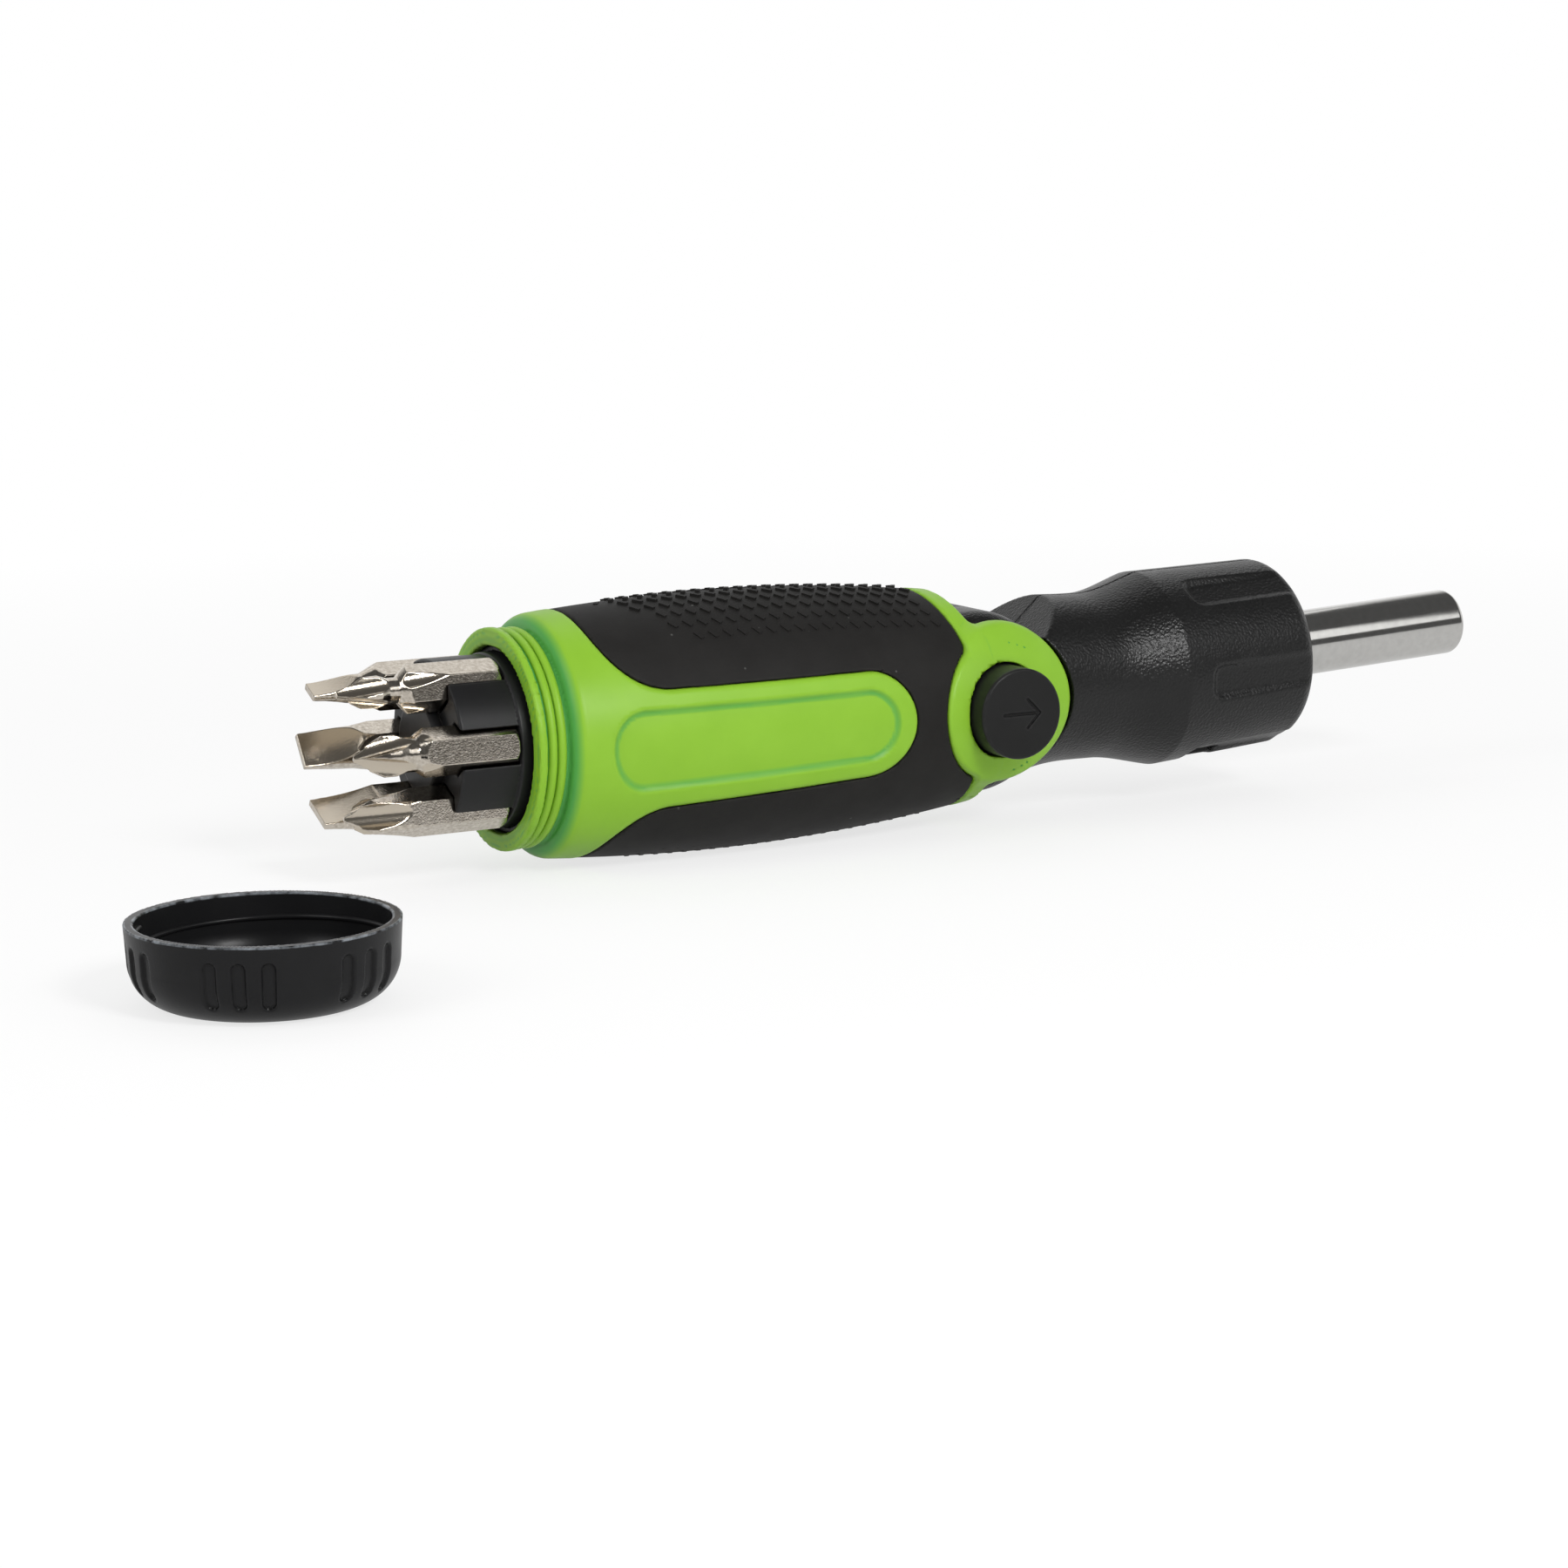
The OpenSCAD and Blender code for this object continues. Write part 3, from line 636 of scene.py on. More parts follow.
@dataclass(frozen=True)
class Plastic:
    """Moulded plastic or rubber.

    Attributes:
        name: Name of the material.
        light: Its colour where it is lightest.
        dark: Its colour where it is darkest.
        groove: Painted shade colour for grooves and creases.
        wear_and_highlight: Its colour on sharp edges, standing for wear and for a painted highlight.
        wear_and_highlight_share: How strongly that edge colour shows.
        groove_shade_share: How strongly the painted groove shade shows.
        groove_bend: How sharp a hollow counts in full as a groove.
        rough: Its roughness in the middle.
        rough_spread: How far the roughness wanders.
        grain_scale: Scale of the mould's grain.
        grain_soft: Share of fine noise in the grain, the rest being pebbles.
        grain_share: Strength of the grain.
        grain_depth: Depth of the grain in millimetres.
        dust: Share of the places for dust specks that hold one.
        dust_colour: Colour of the dust.
        dust_scale: Scale of the places for dust.
        dust_size: Size of a speck, as a share of its place.
        dust_share: How strongly the dust shows.
        patch_scale: Scale at which the colour wanders.
        rough_scale: Scale at which the roughness wanders.
        specular: How strongly it mirrors, where 0.5 is a common plastic.
    """

    name: str
    light: tuple
    dark: tuple
    groove: tuple
    wear_and_highlight: tuple
    wear_and_highlight_share: float = 0.35
    groove_shade_share: float = 0.6
    groove_bend: float = 2.0
    rough: float = 0.42
    rough_spread: float = 0.06
    grain_scale: float = 2400.0
    grain_soft: float = 0.5
    grain_share: float = 0.25
    grain_depth: float = 0.05
    dust: float = 0.0
    dust_colour: tuple = rgb(128, 128, 126)
    dust_scale: float = 620.0
    dust_size: float = 0.16
    dust_share: float = 0.55
    patch_scale: float = 160.0
    rough_scale: float = 260.0
    specular: float = 0.4

    def make(self, effects: Effects) -> bpy.types.Material:
        """Builds the plastic from its values.

        Args:
            effects: Shared effects.

        Returns:
            The material.
        """
        paint = Paint(self.name, effects)
        w = paint.wiring
        edges = paint.effect(effects.edges, Groove=self.groove_bend)
        colour = paint.mottle(self.patch_scale, self.dark, self.light)
        # Painted shade: the groove colour darkens hollows by how sharply they bend in.
        colour = w.blend(w.math("MULTIPLY", edges.outputs["Groove"], self.groove_shade_share), colour, self.groove)
        # Lightened edges: wear, and a painted highlight, which is strongest on the cap's rim.
        colour = w.blend(w.math("MULTIPLY", edges.outputs["Worn"], self.wear_and_highlight_share), colour, self.wear_and_highlight)
        if self.dust:
            specks = paint.effect(effects.specks, Scale=self.dust_scale, Size=self.dust_size, Cover=self.dust)
            shown = w.math("MULTIPLY", specks.outputs[0], self.dust_share)
            colour = w.blend(shown, colour, self.dust_colour)
        paint.set("Base Color", colour)
        paint.set("Roughness", paint.drift(self.rough_scale, self.rough, self.rough_spread))
        paint.surface.inputs["Specular IOR Level"].default_value = self.specular
        grain = paint.effect(effects.grain, Scale=self.grain_scale, Softness=self.grain_soft)
        paint.bump(grain.outputs[0], self.grain_share, self.grain_depth)
        return paint.material


@dataclass(frozen=True)
class Metal:
    """Plated, ground or plain metal.

    Attributes:
        name: Name of the material.
        light: Its colour where it is lightest.
        dark: Its colour where it is darkest.
        rough: Its roughness in the middle.
        rough_spread: How far the roughness wanders.
        speckle: Scale of the speckle left by casting or plating.
        rough_ratio: Scale at which the roughness wanders, as a share of the speckle's.
        relief_ratio: Scale of the relief, as a share of the speckle's.
        ground: True where the mesh says which faces are ground.
        ground_colour: Colour of ground faces.
        ground_rough: Roughness of ground faces.
        lines: How far turning lines are drawn out across the axis, or 0 for none.
        line_scale: Scale of those lines.
        bump_share: Strength of the relief.
        bump_depth: Depth of the relief in millimetres.
    """

    name: str
    light: tuple
    dark: tuple
    rough: float = 0.3
    rough_spread: float = 0.08
    speckle: float = 900.0
    rough_ratio: float = 0.6
    relief_ratio: float = 2.0
    ground: bool = False
    ground_colour: tuple = rgb(214, 208, 198)
    ground_rough: float = 0.24
    lines: float = 0.0
    line_scale: float = 60.0
    bump_share: float = 0.15
    bump_depth: float = 0.02

    def make(self, effects: Effects) -> bpy.types.Material:
        """Builds the metal from its values.

        Args:
            effects: Shared effects.

        Returns:
            The material.
        """
        paint = Paint(self.name, effects)
        w = paint.wiring
        colour = paint.mottle(self.speckle, self.dark, self.light)
        rough = paint.drift(self.speckle * self.rough_ratio, self.rough, self.rough_spread)
        if self.ground:
            cut_face = w.add("ShaderNodeAttribute", attribute_name="ground").outputs["Fac"]
            colour = w.blend(cut_face, colour, self.ground_colour)
            mixed = w.add("ShaderNodeMix", {0: cut_face, 2: rough, 3: self.ground_rough}, data_type="FLOAT")
            rough = mixed.outputs[0]
        paint.set("Base Color", colour)
        paint.set("Roughness", rough)
        paint.surface.inputs["Metallic"].default_value = 1.0
        relief = self.speckle * self.relief_ratio
        height = paint.effect(effects.grain, Scale=relief, Softness=1.0).outputs[0]
        if self.lines:
            stretch = {"Vector": w.spot(), "Scale": (self.lines, 1.0, 1.0)}
            drawn = w.add("ShaderNodeMapping", stretch).outputs[0]
            turned = {"Vector": drawn, "Scale": self.line_scale, "Detail": 2.0}
            height = w.add("ShaderNodeTexNoise", turned).outputs[0]
        paint.bump(height, self.bump_share, self.bump_depth)
        return paint.material


# Each plastic's third colour is painted shade for its grooves; its fourth lightens edges as wear and as a painted
# highlight.
GREEN = Plastic(
    "handle_green_plastic", rgb(133, 182, 47), rgb(127, 176, 41), rgb(52, 148, 74), rgb(144, 192, 62),
    wear_and_highlight_share=0.15, groove_shade_share=0.8, groove_bend=1.2, rough=0.42, grain_scale=1800.0, grain_share=0.1,
    specular=0.3)
RUBBER = Plastic(
    "grip_rubber_black", rgb(35, 34, 33), rgb(29, 28, 27), rgb(18, 18, 18), rgb(46, 45, 44),
    rough=0.6, grain_scale=3200.0, grain_share=0.3, dust=0.05, specular=0.15)
BARREL = Plastic(
    "barrel_grained_black", rgb(22, 22, 22), rgb(18, 18, 18), rgb(11, 11, 11), rgb(36, 36, 36),
    rough=0.35, grain_scale=2300.0, grain_soft=0.35, grain_share=1.0, grain_depth=0.12, specular=0.36)
TRIM = Plastic(
    "trim_smooth_black", rgb(31, 31, 31), rgb(27, 27, 27), rgb(14, 14, 14), rgb(48, 48, 48),
    rough=0.4, grain_scale=3000.0, grain_share=0.15, specular=0.18)
CARRIER = Plastic(
    "carrier_smooth_black", rgb(28, 28, 29), rgb(23, 23, 24), rgb(12, 12, 12), rgb(44, 44, 44),
    rough=0.4, grain_share=0.12, specular=0.25)
# The cap's pale edge colour is a painted highlight on its rim.
CAP = Plastic(
    "cap_satin_black", rgb(25, 25, 26), rgb(20, 20, 21), rgb(13, 13, 13), rgb(150, 156, 162),
    wear_and_highlight_share=0.7, rough=0.34, grain_scale=2600.0, grain_share=0.2, specular=0.2)
NICKEL = Metal(
    "bit_nickel_plate", rgb(226, 218, 206), rgb(176, 167, 154), rough=0.12, speckle=1900.0, ground=True,
    ground_colour=rgb(206, 196, 180), ground_rough=0.18, bump_share=0.9)
CHROME = Metal(
    "shaft_satin_chrome", rgb(203, 202, 199), rgb(193, 192, 189), rough=0.12, rough_spread=0.03, lines=60.0,
    bump_share=0.04)
STEEL = Metal("inner_plain_steel", rgb(128, 128, 130), rgb(104, 104, 106))
BRONZE = Metal("bush_sintered_bronze", rgb(186, 150, 96), rgb(150, 118, 74), rough=0.45)
MAGNET = Metal("magnet_dull_grey", rgb(120, 120, 122), rgb(96, 96, 98), rough=0.5)

FINISHES = {
    Slot.HANDLE_GREEN: GREEN, Slot.GRIP_RUBBER: RUBBER, Slot.BARREL_BLACK: BARREL, Slot.TRIM_BLACK: TRIM,
    Slot.CARRIER_BLACK: CARRIER, Slot.CAP_BLACK: CAP, Slot.BIT_NICKEL: NICKEL, Slot.SHAFT_CHROME: CHROME,
    Slot.INNER_STEEL: STEEL, Slot.BUSH_BRONZE: BRONZE, Slot.MAGNET_GREY: MAGNET,
}


class Workshop:
    """Holds the materials and hands over finished pieces."""

    def __init__(self) -> None:
        """Makes each finish once."""
        effects = Effects()
        self.materials = {slot: finish.make(effects) for slot, finish in FINISHES.items()}

    def finish(self, piece: bpy.types.Object, body: str, slot: Slot, *nodes: str) -> None:
        """Gives a finished piece the material of its slot and its body, and hides the solids that it stands for.

        Args:
            piece: The finished piece.
            body: Name of the body that it rides on.
            slot: Its material slot in the record.
            nodes: Solids that it stands for.
        """
        piece.data.materials.clear()
        piece.data.materials.append(self.materials[slot])
        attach(piece, body)
        if nodes:
            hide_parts(*nodes)

    def coat_solids(self) -> None:
        """Gives each solid that still shows the material of its slot."""
        for row in frame["record"]["subparts"]:
            solid = frame["nodes"][row["node"]]
            material = self.materials[Slot(row["material_slot"])]
            if not solid.material_slots:
                solid.data.materials.append(material)
            for socket in solid.material_slots:
                socket.material = material


# Repeated forms, grown by geometry nodes


def growth_tree(name: str, kinds: dict[str, str]) -> tuple[Wiring, dict]:
    """Starts a geometry node tree.

    Args:
        name: Name of the tree.
        kinds: Kind of each input, by name.

    Returns:
        The wiring of the tree and its input sockets by name.
    """
    tree = bpy.data.node_groups.new(name, "GeometryNodeTree")
    for label, kind in kinds.items():
        tree.interface.new_socket(label, in_out="INPUT", socket_type="NodeSocket" + kind)
    tree.interface.new_socket("Geometry", in_out="OUTPUT", socket_type="NodeSocketGeometry")
    wiring = Wiring(tree)
    entry = wiring.add("NodeGroupInput")
    return wiring, {label: entry.outputs[label] for label in kinds}


def close_tree(w: Wiring, shape: bpy.types.Node, finish: bpy.types.NodeSocket,
               smooth: bool) -> bpy.types.NodeTree:
    """Ends a geometry node tree.

    Args:
        w: Wiring of the tree.
        shape: Node that makes the shape.
        finish: Material of the shape.
        smooth: True for smooth shading, false for flat.

    Returns:
        The tree, whose result is one real mesh with its material.
    """
    real = w.add("GeometryNodeRealizeInstances", {"Geometry": shape.outputs[0]})
    shaded = w.add("GeometryNodeSetShadeSmooth", {"Geometry": real.outputs[0], "Shade Smooth": smooth})
    dressed = w.add("GeometryNodeSetMaterial", {"Geometry": shaded.outputs[0], "Material": finish})
    w.feed(w.add("NodeGroupOutput").inputs["Geometry"], dressed.outputs[0])
    return w.tree


def spiral_tree(name: str, run_in: float = 16.0) -> bpy.types.NodeTree:
    """Builds a node tree for a screw thread: a ridge swept along a spiral, with tapered ends.

    Args:
        name: Name of the tree.
        run_in: Share of the ridge, as one part in so many, that each end takes to rise.

    Returns:
        The tree, with inputs Turns, Radius, Pitch, Ridge, Place, Tilt and Finish.
    """
    kinds = dict.fromkeys(("Turns", "Radius", "Pitch", "Ridge"), "Float")
    w, given = growth_tree(name, kinds | {"Place": "Vector", "Tilt": "Vector", "Finish": "Material"})
    spiral = w.add("GeometryNodeCurveSpiral", {
        "Resolution": 96, "Rotations": given["Turns"], "Start Radius": given["Radius"],
        "End Radius": given["Radius"], "Height": w.math("MULTIPLY", given["Turns"], given["Pitch"])})
    along = w.add("GeometryNodeSplineParameter").outputs["Factor"]
    rise = w.math("MULTIPLY", along, run_in)
    fall = w.math("MULTIPLY", w.math("SUBTRACT", 1.0, along), run_in)
    size = w.math("MINIMUM", w.math("MINIMUM", rise, fall), 1.0)
    sized = w.add("GeometryNodeSetCurveRadius", {
        "Curve": spiral.outputs[0], "Radius": w.math("MAXIMUM", size, 0.05)})
    ring = w.add("GeometryNodeCurvePrimitiveCircle", {"Resolution": 10, "Radius": given["Ridge"]})
    swept = w.add("GeometryNodeCurveToMesh", {
        "Curve": sized.outputs[0], "Profile Curve": ring.outputs[0], "Fill Caps": True})
    stood = w.add("GeometryNodeTransform", {
        "Geometry": swept.outputs[0], "Translation": given["Place"], "Rotation": given["Tilt"]})
    return close_tree(w, stood, given["Finish"], True)


def scatter_tree(name: str) -> bpy.types.NodeTree:
    """Builds a node tree that puts one raised dash on each point of a mesh.

    Args:
        name: Name of the tree.

    Returns:
        The tree, with inputs Points, Dash and Finish. Points carry the attributes turn and share.
    """
    w, given = growth_tree(name, {"Points": "Geometry", "Dash": "Vector", "Finish": "Material"})
    block = w.add("GeometryNodeMeshCube", {"Size": (2.0, 2.0, 2.0)})
    dash = w.add("GeometryNodeTransform", {"Geometry": block.outputs[0], "Scale": given["Dash"]})
    turn, share = (
        w.add("GeometryNodeInputNamedAttribute", {"Name": label}, data_type="FLOAT_VECTOR").outputs[0]
        for label in ("turn", "share"))
    placed = w.add("GeometryNodeInstanceOnPoints", {
        "Points": given["Points"], "Instance": dash.outputs[0], "Rotation": turn, "Scale": share})
    return close_tree(w, placed, given["Finish"], False)


def grow(name: str, tree: bpy.types.NodeTree, values: dict,
         start: Optional[bpy.types.Mesh] = None) -> bpy.types.Object:
    """Runs a geometry node tree once and keeps its result as a plain mesh.

    Args:
        name: Name of the piece.
        tree: The node tree.
        values: Values of its inputs, by name.
        start: Mesh that the tree works on, if it takes one.

    Returns:
        The new piece, without a modifier.
    """
    seed = bpy.data.objects.new(name + "_seed", start or bpy.data.meshes.new(name + "_seed"))
    bpy.context.scene.collection.objects.link(seed)
    modifier = seed.modifiers.new("grow", "NODES")
    modifier.node_group = tree
    for item in tree.interface.items_tree:
        if item.in_out == "INPUT" and item.name in values:
            modifier[item.identifier] = values[item.name]
    ready = seed.evaluated_get(bpy.context.evaluated_depsgraph_get())
    mesh = bpy.data.meshes.new_from_object(ready)
    bpy.data.objects.remove(seed)
    mesh.name = name
    piece = bpy.data.objects.new(name, mesh)
    bpy.context.scene.collection.objects.link(piece)
    LOG.info("%s: %d faces", name, len(mesh.polygons))
    return piece


# Sub-assemblies


@dataclass(frozen=True)
class DashRows:
    """Rows of raised slanted dashes along the top and the underside of the sleeve.

    Attributes:
        rows: Rows on each side of the middle one.
        spacing: Angle between rows, in degrees.
        start: Where the middle row starts.
        end: Where the rows end.
        pitch: Step from dash to dash along a row.
        shift: How much further forward each row starts than the one nearer the middle.
        steps: Most dashes in a row.
        margin: Least distance from the sleeve's edge.
        half_l: Half of a dash's length.
        half_w: Half of its width.
        half_h: Half of its height.
        sink: How deep its middle lies in the sleeve on top.
        sink_under: The same on the underside.
        lean: Turn of the dashes from the row's direction.
        fade: How fast the rows get lower away from the middle.
        least: Least share in that fading.
        under_share: Height of the dashes on the underside, as a share of those on top.
    """

    rows: int = 5
    spacing: float = 8.0
    start: float = -62.0
    end: float = -9.0
    pitch: float = 2.45
    shift: float = 1.9
    steps: int = 24
    margin: float = 1.7
    half_l: float = 0.8
    half_w: float = 0.33
    half_h: float = 0.5
    sink: float = 0.1
    sink_under: float = 0.3
    lean: float = math.radians(56.0)
    fade: float = 0.45
    least: float = 0.25
    under_share: float = 0.8

    def height(self, x: float, away: int) -> float:
        """Returns a dash's share of the full height at a station of a row so many away from the middle."""
        ends = min(x - self.start + self.pitch, self.end + 2 * self.pitch - x) / (2 * self.pitch)
        return max(self.least, 1.0 - away / (self.rows + 1)) ** self.fade * min(1.0, ends)


@dataclass(frozen=True)
class Handle:
    """Green handle with its soft sleeve, threaded neck and two ears."""

    rim_x: float = -79.4
    neck_l: float = 5.1
    neck_r: float = 15.9
    neck_lip_r: float = 16.75
    neck_lip_l: float = 1.3
    neck_edge: float = 0.4
    neck_run: float = 4.0
    neck_fillet: float = 0.5
    lip_edge: float = 0.3
    lip_fillet: float = 0.25
    thread_pitch: float = 1.5
    thread_turns: float = 1.6
    thread_from: float = 1.95
    thread_ridge: float = 0.72
    store_r: float = 14.4
    store_lip_r: float = 14.0
    store_lip_l: float = 1.0
    store_l: float = 44.0
    store_lap: float = 0.2
    shoulder_r: float = 18.3
    shoulder_round: float = 2.0
    front_r: float = 17.6
    front_x: float = -6.0
    crown: float = 1.9
    front_edge: float = 0.5
    lean: float = math.radians(15.5)
    rim_ahead: float = 0.5
    edge_lean: float = math.radians(6.8)
    edge_ahead: float = -1.53
    band: float = 3.45
    sleeve_t: float = 2.0
    sleeve_proud: float = -0.1
    sleeve_edge: float = 0.35
    seat_edge: float = 0.7
    seat_gap: float = 0.06
    sleeve_gap: float = 0.05
    sleeve_corner: float = 0.8
    panel_half: float = 8.15
    panel_front: float = 16.8
    panel_rear: float = 58.0
    sag: float = 1.6
    sag_from: float = 24.0
    sag_run: float = 36.0
    sag_most: float = 1.3
    rear_corner: float = 10.5
    label_half: float = 5.6
    label_front: float = 19.9
    label_rear: float = 68.5
    label_d: float = 0.7
    label_fillet: float = 1.1
    label_side: float = 6.0
    ear_r: float = 12.6
    ear_ahead: float = 1.2
    ear_up: float = 0.7
    ear_ring_r: float = 11.25
    ear_edge: float = 0.7
    ear_fillet: float = 1.5
    ear_gap: float = 10.3
    ear_top_x: float = -4.0
    ear_crown_r: float = 18.0
    ear_fall: float = 3.8
    ear_fall_l: float = 17.0
    slot_r: float = 14.8
    slot_round: float = 4.0
    slot_wall: float = 0.5
    button_hole_r: float = 7.4
    button_hole_y: float = 11.0
    lock_from: float = 9.0
    lock_hole_r: float = 11.5
    lock_hole_y: float = 11.3
    lock_room_r: float = 9.9
    lock_room_y: float = 13.9
    plug_hole_r: float = 6.95
    plug_seat_y: float = 14.2
    plug_edge: float = 0.3
    bolt_hole_r: float = 3.0
    small_edge: float = 0.35
    # Painted shade: between the neck's ridges, into the shoulder's inner corner and along the label's border.
    groove_shade: float = 2.0
    groove_end: float = 0.4
    groove_wall: float = 0.5
    corner_shade: float = 1.5
    corner_back: float = 0.6
    corner_run: float = 1.7
    border_in: float = 0.55
    border_half: float = 0.9
    border_d: float = 1.2
    cell: float = 0.48

    @property
    def shoulder_x(self) -> float:
        """Returns where the neck meets the body."""
        return self.rim_x + self.neck_l

    def belly(self, x: Array) -> Array:
        """Returns the body's radius at stations x."""
        t = (x - self.shoulder_x) / (self.front_x - self.shoulder_x)
        return self.shoulder_r + (self.front_r - self.shoulder_r) * t + 4 * self.crown * t * (1 - t)

    def front(self, x: Array, z: Array) -> Array:
        """Gives the leaning front face.

        Args:
            x: Stations along the tool.
            z: Heights above its axis.

        Returns:
            Distance ahead of the face.
        """
        rim = (x - self.rim_ahead) * math.cos(self.lean) + z * math.sin(self.lean)
        edge = (x - self.edge_ahead) * math.cos(self.edge_lean) + z * math.sin(self.edge_lean)
        return np.maximum(rim, edge)

    def ear_out(self, x: Array) -> Array:
        """Returns the radius of the ears' outside at stations x."""
        return self.ear_crown_r - self.ear_fall * ((x - self.ear_top_x) / self.ear_fall_l) ** 2

    def slot(self, x: Array, y: Array, z: Array, wall: float = 0.0) -> Array:
        """Returns the distance to the slot for the hub, or to its wall."""
        return drum(np.hypot(x, z), y, self.slot_r + wall, self.ear_gap + wall, self.slot_round)

    def sagged(self, x: Array, z: Array) -> Array:
        """Returns heights z drawn in below, so that the panel and its label deepen towards the rear."""
        sag = self.sag * np.clip((-x - self.sag_from) / self.sag_run, 0.0, self.sag_most)
        return np.where(z < 0, z * self.panel_half / (self.panel_half + sag), z)

    def sleeve_outline(self, x: Array, z: Array) -> Array:
        """Gives the sleeve's outline, seen from the side.

        Args:
            x: Stations along the tool.
            z: Heights above its axis.

        Returns:
            Distance to the outline, negative where the sleeve lies.
        """
        level = self.sagged(x, z)
        rear = least(np.hypot(x + self.panel_rear, np.abs(level) - self.panel_half - self.rear_corner)
                     - self.rear_corner, -self.panel_rear - x)
        end = -self.panel_front - self.panel_half
        panel = np.hypot(np.maximum(x - end, 0.0), level) - self.panel_half
        outline = np.maximum(rear, -panel)
        outline = both(outline, self.ear_ring_r - np.hypot(x, z), self.sleeve_corner)
        return both(outline, self.front(x, z) + self.band, self.sleeve_corner)

    def label(self, x: Array, z: Array) -> Array:
        """Gives the bare label recess, seen from the side.

        Args:
            x: Stations along the tool.
            z: Heights above its axis.

        Returns:
            Distance to its outline, negative inside.
        """
        middle = -(self.label_front + self.label_rear) / 2
        half = (self.label_rear - self.label_front) / 2 - self.label_half
        return capsule(self.sagged(x, z), x - middle, half, self.label_half)

    def core_shape(self, x: Array, y: Array, z: Array) -> Array:
        """Gives the green handle with all its hollows.

        Args:
            x: Stations along the tool.
            y: Places across it, away from the button.
            z: Heights above its axis.

        Returns:
            Distance to its surface, negative inside.
        """
        rho, q, side = np.hypot(y, z), np.hypot(x, z), np.abs(y)
        belly, front, edge = self.belly(x), self.front(x, z), self.small_edge
        body = both(rho - belly, self.shoulder_x - x, self.shoulder_round)
        body = both(body, front, self.front_edge)
        neck = both(rho - self.neck_r, self.rim_x - x, self.neck_edge)
        neck = np.maximum(neck, x - self.shoulder_x - self.neck_run)
        lip = between(x, self.rim_x, self.rim_x + self.neck_lip_l)
        lip = both(rho - self.neck_lip_r, lip, self.lip_edge)
        body = either(body, either(neck, lip, self.lip_fillet), self.neck_fillet)
        disc = np.hypot(x - self.ear_ahead, z - self.ear_up) - self.ear_r
        plate = np.minimum(q - self.ear_ring_r, np.maximum(disc, -front - self.band))
        ear = both(rho - self.ear_out(x), plate, self.ear_edge)
        ear = both(ear, self.ear_gap - side, edge)
        core = cut(either(body, ear, self.ear_fillet), self.slot(x, y, z), edge)
        seat = most(self.sleeve_outline(x, z) - self.seat_gap, belly - self.sleeve_t - rho,
                    -self.slot(x, y, z, self.slot_wall))
        core = cut(core, seat, self.seat_edge)
        label = both(self.label(x, z), belly - self.label_d - rho, self.label_fillet)
        core = cut(core, np.maximum(label, self.label_side - side), edge)
        lip_hole = np.maximum(rho - self.store_lip_r, x - self.rim_x - self.store_lip_l - self.store_lap)
        along = between(x, self.rim_x + self.store_lip_l, self.rim_x + self.store_l)
        store = np.maximum(rho - self.store_r, along)
        core = cut(core, np.minimum(lip_hole, store), edge)
        for r, out in ((self.lock_hole_r, self.lock_hole_y), (self.lock_room_r, self.lock_room_y)):
            core = np.maximum(core, -most(q - r, between(-y, self.lock_from, out)))
        core = cut(core, np.maximum(q - self.button_hole_r, y + self.button_hole_y), edge)
        core = np.maximum(core, -np.maximum(q - self.bolt_hole_r, -y))
        return cut(core, np.maximum(q - self.plug_hole_r, self.plug_seat_y - y), self.plug_edge)

    def shade(self, x: Array, y: Array, z: Array) -> Array:
        """Finds where painted shade goes: between the neck's ridges, into the shoulder's inner corner and along
        the label's border.

        Args:
            x: Stations along the tool.
            y: Places across it, away from the button.
            z: Heights above its axis.

        Returns:
            How deep in a groove each place counts as being, which sets its painted shade.
        """
        rho, corner = np.hypot(y, z), x - self.shoulder_x
        on_neck = (x > self.rim_x + self.neck_lip_l) & (x < self.shoulder_x + self.groove_end)
        on_neck &= (rho > self.store_r + self.groove_wall) & (rho < self.neck_lip_r)
        neck = np.where(on_neck, self.groove_shade, 0.0)
        fade = self.corner_shade * np.clip(1.0 - corner / self.corner_run, 0.0, 1.0)
        neck = np.where((corner > -self.corner_back) & (rho > self.neck_r), np.maximum(neck, fade), neck)
        border = np.clip(1.0 - np.abs(self.label(x, z) + self.border_in) / self.border_half, 0.0, 1.0)
        on_side = (np.abs(y) > self.label_side) & (rho > self.belly(x) - self.border_d)
        return np.maximum(neck, np.where(on_side, border, 0.0))

    def sleeve_shape(self, x: Array, y: Array, z: Array) -> Array:
        """Gives the soft sleeve.

        Args:
            x: Stations along the tool.
            y: Places across it, away from the button.
            z: Heights above its axis.

        Returns:
            Distance to its surface, negative inside.
        """
        rho = np.hypot(y, z)
        belly = self.belly(x)
        skin = both(rho - belly - self.sleeve_proud, self.sleeve_outline(x, z), self.sleeve_edge)
        around = -self.slot(x, y, z, self.slot_wall + self.sleeve_gap)
        return most(skin, belly - self.sleeve_t + self.sleeve_gap - rho, around)

